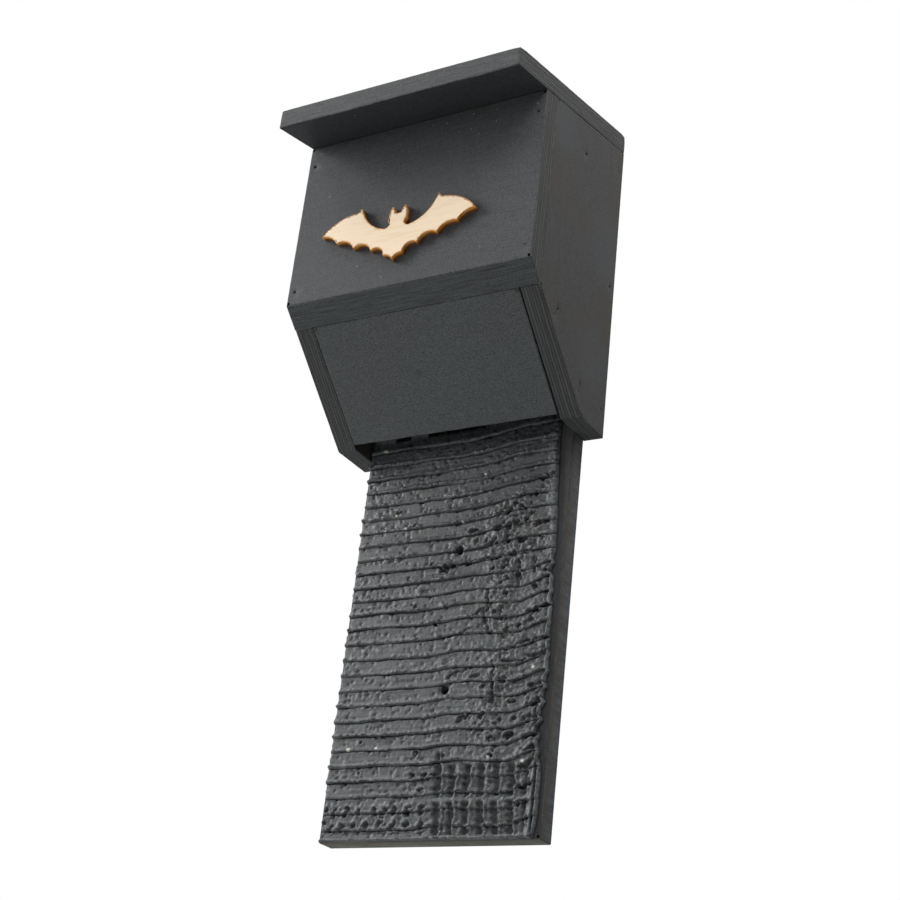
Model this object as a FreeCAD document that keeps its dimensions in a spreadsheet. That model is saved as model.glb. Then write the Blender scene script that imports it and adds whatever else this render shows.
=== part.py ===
import FreeCAD, Part
import os
import Sketcher
from FreeCAD import Placement, Rotation, Vector

# Wall-hung bat box in black-painted plywood.
# X runs to the viewer's right, Y towards the wall and Z up. The origin is on the wall plane, on the box's
# centreline, halfway between the two screw holes.

doc = FreeCAD.newDocument("bat_box")
dims = doc.addObject("Spreadsheet::Sheet", "dims")

# Driving dimensions in millimetres and degrees.
DRIVING = (
    ("ply_thickness", 12, "all boards"),
    ("arris", 0.4, "broken edge of every board"),
    ("box_width", 156, "over the two sides"),
    ("side_depth", 86.5, "wall to the sides' front edge"),
    ("roof_height", 294, "underside of the roof at the wall"),
    ("roof_slope", 13, "fall of the roof to the front, degrees"),
    ("roof_overhang", 33, "roof beyond the front panel"),
    ("board_below", 120, "back board below the origin"),
    ("foot_height", 104, "level lower end of the sides"),
    ("foot_depth", 29, "wall to the front of that level end"),
    ("slant", 41, "slanted edge of the sides, degrees"),
    ("bevel_proud", 0.6, "front panel's bevel beyond the slanted edges"),
    ("slot_setback", 1.6, "slanted panel's lower end ahead of the sides' foot"),
    ("panel_play", 0.8, "gap at the right end of the slanted panel"),
    ("screw_spacing", 80, "between the two wall screws"),
    ("screw_radius", 2.5, "wall screw holes"),
    ("screw_shift", 2.5, "screw line to the right of the centreline"),
    ("coat_thickness", 3, "grip coat at its crests"),
    ("coat_top", 134, "upper end of the grip coat"),
    ("coat_edge", 1.2, "bare strip of the board at the coat's left and lower edges"),
    ("coat_strip", 3.4, "bare strip of the board at the coat's right edge"),
    ("ridge_pitch", 8.5, "between two combed ridges"),
    ("ridge_depth", 1.3, "crest to recess"),
    ("ridge_crest", 1.6, "flat width of a crest"),
    ("ridge_start", 2.1, "coat's top to the first step"),
    ("ridge_bend", 4, "where the ridges start to rise, right of the centreline"),
    ("ridge_rise", 4.5, "rise of the ridges in their right half, degrees"),
    ("comb_width", 3.4, "upright comb stroke"),
    ("comb_depth", 1.6, "upright comb stroke"),
    ("comb_pitch", 8.7, "between two upright strokes"),
    ("comb_height", 35, "height of the upright strokes at the foot"),
    ("comb_low", 5, "coat's lower edge to the upright strokes"),
    ("comb_left", 6, "first upright stroke, right of the centreline"),
    ("pit_height", 4.2, "short stroke left between two ridges"),
    ("pit_low", 7, "coat's lower edge to the first row of short strokes"),
    ("trail_width", 2.6, "long upright stroke"),
    ("trail_foot", 54, "long upright stroke's lower end below the origin"),
    ("trail_length", 80, "long upright stroke"),
    ("trail_left", 32.5, "long upright stroke, right of the centreline"),
    ("lip_width", 1.3, "bead along the coat's right edge"),
    ("lip_proud", 0.7, "bead beyond the crests"),
    ("lip_height", 150, "bead from the coat's lower edge"),
    ("brad_radius", 0.8, "brads"),
    ("brad_length", 25, "brads"),
    ("brad_sink", 0.8, "head below the wood"),
    ("brad_flush", 0.15, "head of a brad that the paint has closed"),
    ("front_brad_edge", 4.5, "front brads to the box's side"),
    ("front_brad_top", 16.5, "upper front brads below the sides' upper front corner"),
    ("front_brad_foot", 18, "lower front brads above the sides' lower front corner"),
    ("back_brad_foot", 15, "lowest brad into the back board above the sides' foot"),
    ("back_brad_top", 17, "highest brad into the back board below the roof"),
    ("roof_brad_rear", 22, "rear roof brads to the wall"),
    ("roof_brad_front", 70, "front roof brads to the wall"),
    ("pin_depth", 47.7, "side pin to the wall"),
    ("pin_top", 21.2, "side pin below the roof"),
    ("pin_length", 10, "side pin, shorter than a board is thick"),
    ("staple_crown", 7, "over the two legs"),
    ("staple_wire", 1, "wire"),
    ("staple_leg", 20, "leg"),
    ("staple_sink", 0.6, "crown below the wood"),
    ("staple_inset", 9, "crown's middle behind the slanted face"),
    ("upper_staple", 56.8, "along the slant from the foot to the upper staple"),
    ("lower_staple", 13.3, "along the slant from the foot to the lower staple"),
    ("upper_lean", 25, "upper staple's crown from the upright, degrees"),
    ("lower_lean", 9, "lower staple's crown from the upright, degrees"),
    ("emblem_span", 100, "wing tip to wing tip"),
    ("emblem_thickness", 4, "emblem's plywood"),
    ("emblem_shift", -7, "emblem's middle from the centreline"),
    ("emblem_drop", 56.3, "tops of the emblem's wings below the front panel's top"),
    ("emblem_tilt", -1.2, "emblem's turn, degrees"),
)
for row, (alias, value, meaning) in enumerate(DRIVING, start=1):
    dims.set("A%d" % row, alias)
    dims.set("B%d" % row, str(value))
    dims.setAlias("B%d" % row, alias)
    dims.set("C%d" % row, meaning)
doc.recompute()

# Lines that several pieces share, as expressions on the sheet.
HALF_WIDTH = "dims.box_width / 2"
INNER_HALF = "(dims.box_width / 2 - dims.ply_thickness)"
SIDE_FRONT = "-dims.side_depth"
PANEL_FRONT = "-(dims.side_depth + dims.ply_thickness)"
ROOF_FRONT = "-(dims.side_depth + dims.ply_thickness + dims.roof_overhang)"
PANEL_FOOT = "-(dims.foot_depth + dims.slot_setback)"
COAT_LEFT = "-(%s - dims.coat_edge)" % INNER_HALF
COAT_RIGHT = "(%s - dims.coat_strip)" % INNER_HALF
COAT_FOOT = "-(dims.board_below - dims.coat_edge)"
BACK_BRAD_PITCH = "((dims.roof_height - dims.foot_height - dims.back_brad_foot - dims.back_brad_top) / 2)"


def roof_line(depth):
    """Height of the roof's underside at a depth."""
    return "(dims.roof_height + (%s) * tan(dims.roof_slope))" % depth


def slant_line(depth, proud="0"):
    """Height of the slanted edges at a depth, moved outwards by proud."""
    return "(dims.foot_height + (-(%s) - dims.foot_depth) * tan(dims.slant) - (%s) / cos(dims.slant))" % (
        depth, proud)


def number(expression):
    """Value of an expression on the sheet."""
    value = dims.evalExpression(expression)
    return float(getattr(value, "Value", value))


def plane_of(body, role):
    """A body's own origin plane."""
    return next(item for item in body.Origin.OriginFeatures if item.Role == role)


def new_sketch(body, name, role, offset=None):
    """Sketch on an origin plane of its body, offset along the plane's normal."""
    sketch = body.newObject("Sketcher::SketchObject", name)
    sketch.AttachmentSupport = [(plane_of(body, role), "")]
    sketch.MapMode = "FlatFace"
    if offset:
        sketch.setExpression("AttachmentOffset.Base.z", offset)
        doc.recompute()
    return sketch


def pin_point(sketch, geometry, point, across, along):
    """Hold a point of a sketch at two expressions, measured from the sketch's origin."""
    for kind, axis, expression in (("DistanceX", -2, across), ("DistanceY", -1, along)):
        if abs(number(expression)) < 1e-9:
            sketch.addConstraint(Sketcher.Constraint("PointOnObject", geometry, point, axis))
        else:
            index = sketch.addConstraint(
                Sketcher.Constraint(kind, -1, 1, geometry, point, number(expression)))
            sketch.setExpression("Constraints[%d]" % index, expression)


def add_polygon(sketch, corners):
    """Closed polygon whose corners are pairs of expressions."""
    first = sketch.GeometryCount
    points = [Vector(number(across), number(along), 0) for across, along in corners]
    count = len(points)
    for index in range(count):
        sketch.addGeometry(Part.LineSegment(points[index], points[(index + 1) % count]), False)
    for index in range(count):
        sketch.addConstraint(
            Sketcher.Constraint("Coincident", first + index, 2, first + (index + 1) % count, 1))
    for index, (across, along) in enumerate(corners):
        pin_point(sketch, first + index, 1, across, along)


def rectangle(left, right, low, high):
    """Corners of an upright rectangle."""
    return ((left, low), (right, low), (right, high), (left, high))


def add_circle(sketch, across, along, radius):
    """Circle held by its centre and its radius."""
    index = sketch.GeometryCount
    centre = Vector(number(across), number(along), 0)
    sketch.addGeometry(Part.Circle(centre, Vector(0, 0, 1), number(radius)), False)
    pin_point(sketch, index, 3, across, along)
    limit = sketch.addConstraint(Sketcher.Constraint("Radius", index, number(radius)))
    sketch.setExpression("Constraints[%d]" % limit, radius)


def extrude(body, kind, name, sketch, length, symmetric=False, backwards=False):
    """Pad or pocket of a sketch."""
    feature = body.newObject("PartDesign::" + kind, name)
    feature.Profile = sketch
    feature.setExpression("Length", length)
    if symmetric:
        feature.SideType = "Symmetric"
    feature.Reversed = backwards
    doc.recompute()
    return feature


def board(label, corners, width):
    """Plywood board with an outline in the YZ plane, its edges broken."""
    body = doc.addObject("PartDesign::Body", label)
    sketch = new_sketch(body, label + "_outline", "YZ_Plane")
    add_polygon(sketch, corners)
    pad = extrude(body, "Pad", label + "_pad", sketch, width, symmetric=True)
    edges = ["Edge%d" % (index + 1) for index in range(len(pad.Shape.Edges))]
    broken = body.newObject("PartDesign::Chamfer", label + "_arris")
    broken.Base = (pad, edges)
    broken.setExpression("Size", "dims.arris")
    doc.recompute()
    return body


# Fasteners. Each one comes with a bore of its own size, which runs out through the wood's face.
INTO_WALL = (Rotation(Vector(1, 0, 0), -90), ("0", "1", "0"))
DOWN = (Rotation(Vector(1, 0, 0), 180), ("0", "0", "-1"))
TO_LEFT = (Rotation(Vector(0, 1, 0), -90), ("-1", "0", "0"))
TO_RIGHT = (Rotation(Vector(0, 1, 0), 90), ("1", "0", "0"))
BREAKOUT = "2"


def round_bar(label, aim, start, head, length):
    """Cylinder that starts at a distance from a point, along its aim."""
    turn, direction = aim
    bar = doc.addObject("Part::Cylinder", label)
    bar.setExpression("Radius", "dims.brad_radius")
    bar.setExpression("Height", length)
    bar.Placement = Placement(Vector(0, 0, 0), turn)
    for axis, place, step in zip("xyz", start, direction):
        bar.setExpression("Placement.Base." + axis, "(%s) + (%s) * (%s)" % (place, step, head))
    return bar


def drive(label, aim, start, sink, length):
    """One brad with its bore, its head sunk below the face at start."""
    brad = round_bar(label, aim, start, sink, length)
    bore = round_bar(label + "_bore", aim, start, "-" + BREAKOUT, "%s + %s + %s" % (length, sink, BREAKOUT))
    return brad, bore


def group(label, members):
    """Several solids as one shape, without joining them."""
    compound = doc.addObject("Part::Compound", label)
    compound.Links = members
    return compound


def bored(label, blank, bores):
    """Board with the fasteners' bores taken out."""
    tool = group(label + "_bores", bores)
    cut = doc.addObject("Part::Cut", label)
    cut.Base = blank
    cut.Tool = tool
    return cut


front_brads = []
front_bores = {-1: [], 1: []}
for side in (-1, 1):
    for level, height in (
            ("high", roof_line(SIDE_FRONT) + " - dims.front_brad_top"),
            ("low", slant_line(SIDE_FRONT) + " + dims.front_brad_foot")):
        painted = side > 0 and level == "low"
        across = "%d * (%s - dims.front_brad_edge)" % (side, HALF_WIDTH)
        brad, bore = drive(
            "front_brad_%s_%s" % ("left" if side < 0 else "right", level), INTO_WALL,
            (across, PANEL_FRONT, height), "dims.brad_flush" if painted else "dims.brad_sink",
            "dims.brad_length")
        front_brads.append(brad)
        front_bores[side].append(bore)

back_brads = []
back_bores = {-1: [], 1: []}
side_pins = []
pin_bores = {-1: [], 1: []}
roof_brads = []
roof_bores = {-1: [], 1: []}
for side, aim in ((-1, TO_RIGHT), (1, TO_LEFT)):
    hand = "left" if side < 0 else "right"
    face = "%d * %s" % (side, HALF_WIDTH)
    for level in range(3):
        height = "dims.foot_height + dims.back_brad_foot + %d * %s" % (level, BACK_BRAD_PITCH)
        brad, bore = drive(
            "back_brad_%s_%d" % (hand, level), aim, (face, "-dims.ply_thickness / 2", height),
            "dims.brad_sink" if level == 1 else "dims.brad_flush", "dims.brad_length")
        back_brads.append(brad)
        back_bores[side].append(bore)
    pin, bore = drive(
        "side_pin_" + hand, aim, (face, "-dims.pin_depth", roof_line("-dims.pin_depth") + " - dims.pin_top"),
        "dims.brad_sink", "dims.pin_length")
    side_pins.append(pin)
    pin_bores[side].append(bore)
    for end in ("rear", "front"):
        depth = "-dims.roof_brad_%s" % end
        top = roof_line(depth) + " + dims.ply_thickness / cos(dims.roof_slope)"
        brad, bore = drive(
            "roof_brad_%s_%s" % (hand, end), DOWN,
            ("%d * (%s - dims.ply_thickness / 2)" % (side, HALF_WIDTH), depth, top), "dims.brad_sink",
            "dims.brad_length")
        roof_brads.append(brad)
        roof_bores[side].append(bore)


def staple(label, side, along, lean, breakout):
    """Staple driven through a side board into the end of the slanted panel.

    The crown lies near the board's face, and breakout widens it outwards into the bore that it left.
    """
    body = doc.addObject("PartDesign::Body", label)
    sketch = new_sketch(body, label + "_bend", "XZ_Plane")
    crown = "dims.staple_crown / 2"
    inner = "(%s - dims.staple_wire)" % crown
    outside = "%d * %s" % (side, breakout)
    root = "%d * -dims.staple_wire" % side
    tip = "%d * -dims.staple_leg" % side
    add_polygon(sketch, (
        (outside, "-" + crown), (outside, crown), (tip, crown), (tip, inner),
        (root, inner), (root, "-" + inner), (tip, "-" + inner), (tip, "-" + crown)))
    extrude(body, "Pad", label + "_wire", sketch, "dims.staple_wire", symmetric=True)
    body.Placement = Placement(Vector(0, 0, 0), Rotation(Vector(1, 0, 0), number(lean)))
    body.setExpression("Placement.Rotation.Angle", lean)
    body.setExpression("Placement.Base.x", "%d * (%s - dims.staple_sink)" % (side, HALF_WIDTH))
    body.setExpression(
        "Placement.Base.y",
        "-(dims.foot_depth + (%s) * cos(dims.slant)) + dims.staple_inset * sin(dims.slant)" % along)
    body.setExpression(
        "Placement.Base.z",
        "dims.foot_height + (%s) * sin(dims.slant) + dims.staple_inset * cos(dims.slant)" % along)
    doc.recompute()
    return body


staples = []
staple_bores = {-1: [], 1: []}
for side in (-1, 1):
    hand = "left" if side < 0 else "right"
    for level in ("upper", "lower"):
        along = "dims.%s_staple" % level
        lean = "dims.%s_lean" % level
        staples.append(staple("staple_%s_%s" % (hand, level), side, along, lean, "0"))
        staple_bores[side].append(
            staple("staple_bore_%s_%s" % (hand, level), side, along, lean, BREAKOUT))

# Side boards: sloping top, upright front edge, slanted lower edge and a short level foot.
SIDE_OUTLINE = (
    ("0", "dims.foot_height"),
    ("-dims.foot_depth", "dims.foot_height"),
    (SIDE_FRONT, slant_line(SIDE_FRONT)),
    (SIDE_FRONT, roof_line(SIDE_FRONT)),
    ("0", roof_line("0")),
)
for side in (-1, 1):
    hand = "left" if side < 0 else "right"
    blank = board("side_%s_blank" % hand, SIDE_OUTLINE, "dims.ply_thickness")
    blank.setExpression("Placement.Base.x", "%d * (%s - dims.ply_thickness / 2)" % (side, HALF_WIDTH))
    bored(
        "side_" + hand, blank,
        front_bores[side] + back_bores[side] + pin_bores[side] + roof_bores[side] + staple_bores[side])

# Back board, which is also the landing board. It stands between the sides and under the roof.
blank = board(
    "back_board_blank",
    (("0", "-dims.board_below"), ("-dims.ply_thickness", "-dims.board_below"),
     ("-dims.ply_thickness", roof_line("-dims.ply_thickness")), ("0", roof_line("0"))),
    "2 * " + INNER_HALF)


def screw_circles(sketch):
    """The two wall screw holes, one above the other."""
    for turn in (-1, 1):
        add_circle(sketch, "dims.screw_shift", "%d * dims.screw_spacing / 2" % turn, "dims.screw_radius")


screws = new_sketch(blank, "screw_holes", "XZ_Plane")
screw_circles(screws)
pocket = extrude(blank, "Pocket", "screw_bores", screws, "4 * dims.ply_thickness", symmetric=True)
bored("back_board", blank, back_bores[-1] + back_bores[1])

# Front panel over the sides' front edges, with its lower end bevelled on the slant.
blank = board(
    "front_panel_blank",
    ((PANEL_FRONT, slant_line(PANEL_FRONT, "dims.bevel_proud")),
     (PANEL_FRONT, roof_line(PANEL_FRONT)),
     (SIDE_FRONT, roof_line(SIDE_FRONT)),
     (SIDE_FRONT, slant_line(SIDE_FRONT, "dims.bevel_proud"))),
    "dims.box_width")
bored("front_panel", blank, front_bores[-1] + front_bores[1])

# Slanted panel between the sides, flush with their slanted edges. Both its ends are cut upright: the upper
# one lies on the front panel's back and the lower one faces the landing board across the entrance slot.
RISE = "dims.ply_thickness / cos(dims.slant)"
blank = board(
    "lower_front_panel_blank",
    ((PANEL_FOOT, slant_line(PANEL_FOOT)),
     (SIDE_FRONT, slant_line(SIDE_FRONT)),
     (SIDE_FRONT, "%s + %s" % (slant_line(SIDE_FRONT), RISE)),
     (PANEL_FOOT, "%s + %s" % (slant_line(PANEL_FOOT), RISE))),
    "2 * %s - dims.panel_play" % INNER_HALF)
blank.setExpression("Placement.Base.x", "-dims.panel_play / 2")
bored("lower_front_panel", blank, staple_bores[-1] + staple_bores[1])

# Roof: one sloping board with upright ends, flush with the sides and with the wall.
THICK = "dims.ply_thickness / cos(dims.roof_slope)"
blank = board(
    "roof_blank",
    (("0", roof_line("0")),
     (ROOF_FRONT, roof_line(ROOF_FRONT)),
     (ROOF_FRONT, "%s + %s" % (roof_line(ROOF_FRONT), THICK)),
     ("0", "%s + %s" % (roof_line("0"), THICK))),
    "dims.box_width")
bored("roof", blank, roof_bores[-1] + roof_bores[1])

# Grip coat, combed in steps: each step comes out to a crest and drops back to a recess. The right half of
# the ridges rises, because the comb was pulled in a flat arc.
coat = doc.addObject("PartDesign::Body", "grip_coat")
coat.setExpression("Placement.Base.y", "-dims.ply_thickness")
slab = new_sketch(coat, "coat_area", "XZ_Plane")
add_polygon(slab, rectangle(COAT_LEFT, COAT_RIGHT, COAT_FOOT, "dims.coat_top"))
extrude(coat, "Pad", "coat_slab", slab, "dims.coat_thickness")

# Profile of what one step takes out, in the YZ plane.
FIRST_STEP = "dims.coat_top - dims.ridge_start"
STEP_FOOT = "%s - (dims.ridge_pitch - dims.ridge_crest)" % FIRST_STEP
OUTSIDE = "-(dims.coat_thickness + 2)"
STEP_PROFILE = (
    ("-(dims.coat_thickness - dims.ridge_depth)", FIRST_STEP),
    ("-dims.coat_thickness", STEP_FOOT),
    (OUTSIDE, STEP_FOOT),
    (OUTSIDE, FIRST_STEP),
)
cuts = []
for hand in ("left", "right"):
    profile = new_sketch(coat, "step_profile_" + hand, "YZ_Plane", "dims.ridge_bend")
    add_polygon(profile, STEP_PROFILE)
    cuts.append(extrude(coat, "Pocket", "step_" + hand, profile, "dims.box_width"))
cuts[1].UseCustomVector = True
cuts[1].AlongSketchNormal = False
cuts[1].setExpression("Direction.x", "cos(dims.ridge_rise)")
cuts[1].setExpression("Direction.z", "sin(dims.ridge_rise)")
doc.recompute()


def repeat(body, name, originals, axis, pitch, count, backwards=False):
    """Row of equal features along an axis of the last one's sketch."""
    row_pattern = body.newObject("PartDesign::LinearPattern", name)
    row_pattern.Originals = originals
    row_pattern.Direction = (originals[-1].Profile[0], [axis])
    row_pattern.Mode = "Spacing"
    row_pattern.Reversed = backwards
    row_pattern.setExpression("Offset", pitch)
    row_pattern.setExpression("Occurrences", count)
    body.Tip = row_pattern
    doc.recompute()
    return row_pattern


repeat(
    coat, "ridges", cuts, "V_Axis", "dims.ridge_pitch",
    "floor((%s - %s) / dims.ridge_pitch) + 1" % (FIRST_STEP, COAT_FOOT), backwards=True)


def stroke(name, left, width, low, height, depth):
    """Upright comb stroke, cut into the crests."""
    area = new_sketch(coat, name + "_area", "XZ_Plane", "dims.coat_thickness")
    add_polygon(area, rectangle(left, "%s + %s" % (left, width), low, "%s + %s" % (low, height)))
    return extrude(coat, "Pocket", name, area, depth)


# Upright strokes across the right half of the coat's foot.
upright = stroke(
    "upright", "dims.comb_left", "dims.comb_width", COAT_FOOT + " + dims.comb_low", "dims.comb_height",
    "dims.comb_depth")
repeat(
    coat, "uprights", [upright], "H_Axis", "dims.comb_pitch",
    "floor((%s - dims.comb_left - dims.comb_width - dims.lip_width) / dims.comb_pitch) + 1" % COAT_RIGHT)

# Two rows of short strokes in the left half, left over between the ridges.
for level in range(2):
    pit = stroke(
        "pit_%d" % level, "dims.comb_left - dims.comb_pitch", "dims.comb_width",
        "%s + dims.pit_low + %d * dims.ridge_pitch" % (COAT_FOOT, level), "dims.pit_height",
        "dims.comb_depth")
    repeat(
        coat, "pits_%d" % level, [pit], "H_Axis", "dims.comb_pitch",
        "floor((dims.comb_left - %s) / dims.comb_pitch)" % COAT_LEFT, backwards=True)

# One long stroke further up.
stroke(
    "trail", "dims.trail_left", "dims.trail_width", "-dims.trail_foot", "dims.trail_length",
    "dims.comb_depth")

# Bead that the trowel left along the right edge.
edge = new_sketch(coat, "lip_area", "XZ_Plane")
add_polygon(edge, rectangle(
    COAT_RIGHT + " - dims.lip_width", COAT_RIGHT, COAT_FOOT, COAT_FOOT + " + dims.lip_height"))
extrude(coat, "Pad", "lip", edge, "dims.coat_thickness + dims.lip_proud")

# The screw holes go through the coat too.
screws = new_sketch(coat, "coat_screw_holes", "XZ_Plane", "dims.coat_thickness + 1")
screw_circles(screws)
extrude(coat, "Pocket", "coat_screw_bores", screws, "dims.coat_thickness + 2")

# Emblem: a bat with spread wings, sawn from thin plywood. Each station of its right half holds a middle point
# and an end point, as shares of the span: across from the body's middle and down from the tops of the wings.
# A station without a middle point is straight.
CROWN = (0, 0.072)
STATIONS = (
    (None, (0.018, 0.070)),
    ((0.026, 0.044), (0.040, 0.022)),
    ((0.056, 0.056), (0.058, 0.092)),
    ((0.058, 0.116), (0.046, 0.136)),
    ((0.058, 0.153), (0.078, 0.160)),
    ((0.175, 0.112), (0.238, 0.022)),
    (None, (0.252, -0.008)),
    (None, (0.272, 0.018)),
    ((0.400, 0.050), (0.500, 0.135)),
    ((0.436, 0.150), (0.392, 0.196)),
    ((0.326, 0.198), (0.270, 0.250)),
    ((0.207, 0.236), (0.150, 0.288)),
    ((0.103, 0.279), (0.062, 0.335)),
    ((0.026, 0.341), (0, 0.372)),
)


def emblem_edge(start, middle, end, side):
    """Edge of the emblem's outline on one side of its middle."""
    span = number("dims.emblem_span")
    points = [Vector(side * across * span, 0, -down * span) for across, down in (start, end)]
    if middle is None:
        return Part.LineSegment(*points).toShape()
    bulge = Vector(side * middle[0] * span, 0, -middle[1] * span)
    return Part.Arc(points[0], bulge, points[1]).toShape()


starts = (CROWN,) + tuple(end for middle, end in STATIONS[:-1])
halves = []
for side in (1, -1):
    halves.append([
        emblem_edge(start, middle, end, side) for start, (middle, end) in zip(starts, STATIONS)])
outline = Part.Wire(halves[0] + halves[1][::-1])
emblem = doc.addObject("Part::Feature", "bat_emblem")
emblem.Shape = Part.Face(outline).extrude(Vector(0, -number("dims.emblem_thickness"), 0))
emblem.Placement = Placement(
    Vector(
        number("dims.emblem_shift"), number(PANEL_FRONT),
        number(roof_line(PANEL_FRONT) + " - dims.emblem_drop")),
    Rotation(Vector(0, -1, 0), number("dims.emblem_tilt")))

# Fasteners of one kind stay together, each still a solid of its own.
group("front_nails", front_brads)
group("back_nails", back_brads)
group("roof_nails", roof_brads)
group("side_pins", side_pins)
group("panel_staples", staples)

doc.recompute()

PIECES = (
    "back_board", "grip_coat", "side_left", "side_right", "front_panel", "lower_front_panel", "roof",
    "bat_emblem", "front_nails", "back_nails", "roof_nails", "side_pins", "panel_staples",
)

for item in doc.Objects:
    if "Invalid" in item.State or "Error" in item.State:
        raise RuntimeError("%s failed: %s" % (item.Label, item.State))
for name in PIECES:
    piece = doc.getObjectsByLabel(name)[0]
    if piece.Shape.isNull() or not piece.Shape.isValid():
        raise RuntimeError("%s has no valid shape" % name)

os.makedirs("parts", exist_ok=True)
for name in PIECES:
    piece = doc.getObjectsByLabel(name)[0]
    piece.Shape.exportStep("parts/%s.step" % name)
    print("%-18s %2d solids, %9.1f mm3" % (name, len(piece.Shape.Solids), piece.Shape.Volume))
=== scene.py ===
"""Looks of a wall-hung bat box: worn black plywood boards, a trowelled grip coat and a pale bat emblem.

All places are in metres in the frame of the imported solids: X to the viewer's right, Y towards the wall and Z
up, with the origin on the wall between the two screw holes. Where lengths are in millimetres instead, the
class or the comment beside them says so.
"""

import logging
import math
from dataclasses import dataclass, field
from enum import Enum
from typing import Sequence

import bpy
import numpy as np
from mathutils import Matrix, Vector
from mathutils.geometry import delaunay_2d_cdt


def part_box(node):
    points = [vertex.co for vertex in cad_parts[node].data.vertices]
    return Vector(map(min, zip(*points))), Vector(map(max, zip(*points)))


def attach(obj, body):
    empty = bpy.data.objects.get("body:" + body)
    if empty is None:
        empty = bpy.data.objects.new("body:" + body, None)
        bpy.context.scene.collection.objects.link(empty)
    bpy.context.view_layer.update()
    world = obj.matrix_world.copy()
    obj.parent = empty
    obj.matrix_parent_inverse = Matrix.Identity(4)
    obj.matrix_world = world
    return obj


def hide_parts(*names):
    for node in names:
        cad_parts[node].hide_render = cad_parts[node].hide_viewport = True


Array = np.ndarray
Colour = tuple[float, float, float, float]
Socket = bpy.types.NodeSocket
MM = 0.001

# Sizes that several pieces share, in millimetres: the boards' thickness and the two screw holes.
PLY = 12.0
SCREW_X = 2.5
SCREW_Z = 40.0
SCREW_RADIUS = 2.5

# Points round a dent or a screw hole.
SEGMENTS = 28

log = logging.getLogger("bat_box")


# Numbers on whole arrays.


def smoothstep(low: float, high: float, value: Array) -> Array:
    """Soft step: t * t * (3 - 2 t), where t runs from 0 at low to 1 at high.

    Args:
        low: Value where the step starts.
        high: Value where the step ends.
        value: Values to map.

    Returns:
        Shares from 0 to 1.
    """
    t = np.clip((np.asarray(value, float) - low) / (high - low), 0.0, 1.0)
    return t * t * (3.0 - 2.0 * t)


def fade(low: float, high: float, value: Array) -> Array:
    """Soft step down: 1 minus the soft step up from low to high."""
    return 1.0 - smoothstep(low, high, value)


def hashed(i: Array, j: Array, seed: int) -> Array:
    """Random share from 0 to 1 for each pair of whole numbers, the same in every run.

    Args:
        i: First whole numbers.
        j: Second whole numbers.
        seed: Picks another set of shares.

    Returns:
        One share for each pair.
    """
    mixed = (np.asarray(i, np.int64) * 374761393 + np.asarray(j, np.int64) * 668265263 + seed * 974634777)
    mixed = (mixed ^ (mixed >> 13)) * 1274126177 & 0x7FFFFFFF
    mixed = (mixed ^ (mixed >> 15)) * 2246822519 & 0x7FFFFFFF
    return (mixed ^ (mixed >> 16)) / float(0x7FFFFFFF)


def noise(u: Array, v: Array, seed: int) -> Array:
    """Smooth noise from -1 to 1: random lattice shares, blended by a soft step in both directions.

    Args:
        u: First coordinate, in lattice cells.
        v: Second coordinate, in lattice cells.
        seed: Picks another field.

    Returns:
        Noise values.
    """
    u, v = np.broadcast_arrays(np.asarray(u, float), np.asarray(v, float))
    i, j = np.floor(u).astype(np.int64), np.floor(v).astype(np.int64)
    a, b = u - i, v - j
    a, b = a * a * (3 - 2 * a), b * b * (3 - 2 * b)
    near = hashed(i, j, seed) * (1 - a) + hashed(i + 1, j, seed) * a
    far = hashed(i, j + 1, seed) * (1 - a) + hashed(i + 1, j + 1, seed) * a
    return 2.0 * (near * (1 - b) + far * b) - 1.0


def beads(u: Array, v: Array, seed: int, share: float, blunt: float = 0.5) -> Array:
    """Scattered domes, one at most in each lattice cell: (1 - distance^2 / radius^2) ^ blunt times its size.

    Args:
        u: First coordinate, in lattice cells.
        v: Second coordinate, in lattice cells.
        seed: Picks another field.
        share: Share of the cells that hold a dome.
        blunt: Power of the dome's section; a smaller one has steeper sides.

    Returns:
        Heights from 0 to 1.
    """
    i, j = np.floor(u).astype(np.int64), np.floor(v).astype(np.int64)
    top = np.zeros(np.broadcast(u, v).shape)
    for di in (-1, 0, 1):
        for dj in (-1, 0, 1):
            ci, cj = i + di, j + dj
            centre_u = ci + 0.2 + 0.6 * hashed(ci, cj, seed)
            centre_v = cj + 0.2 + 0.6 * hashed(ci, cj, seed + 1)
            size = 0.35 + 0.65 * hashed(ci, cj, seed + 2)
            held = hashed(ci, cj, seed + 3) < share
            apart = ((u - centre_u) ** 2 + (v - centre_v) ** 2) / (0.62 * size) ** 2
            top = np.maximum(top, np.where(held, size * np.clip(1.0 - apart, 0.0, 1.0) ** blunt, 0.0))
    return top


def spaced(length: float, step: float, ends: Sequence[float]) -> Array:
    """Shares along a line: close together near both ends and evenly spaced between.

    Args:
        length: Length of the line.
        step: Spacing between the ends.
        ends: Distances from either end at which a point lies.

    Returns:
        Shares from 0 to 1, both included.
    """
    near = np.asarray(ends, float)
    inner = length - 2 * near[-1]
    count = max(2, int(round(inner / step)) + 1)
    middle = near[-1] + inner * np.linspace(0.0, 1.0, count)
    return np.concatenate(([0.0], near[:-1], middle, length - near[:-1][::-1], [length])) / length


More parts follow.
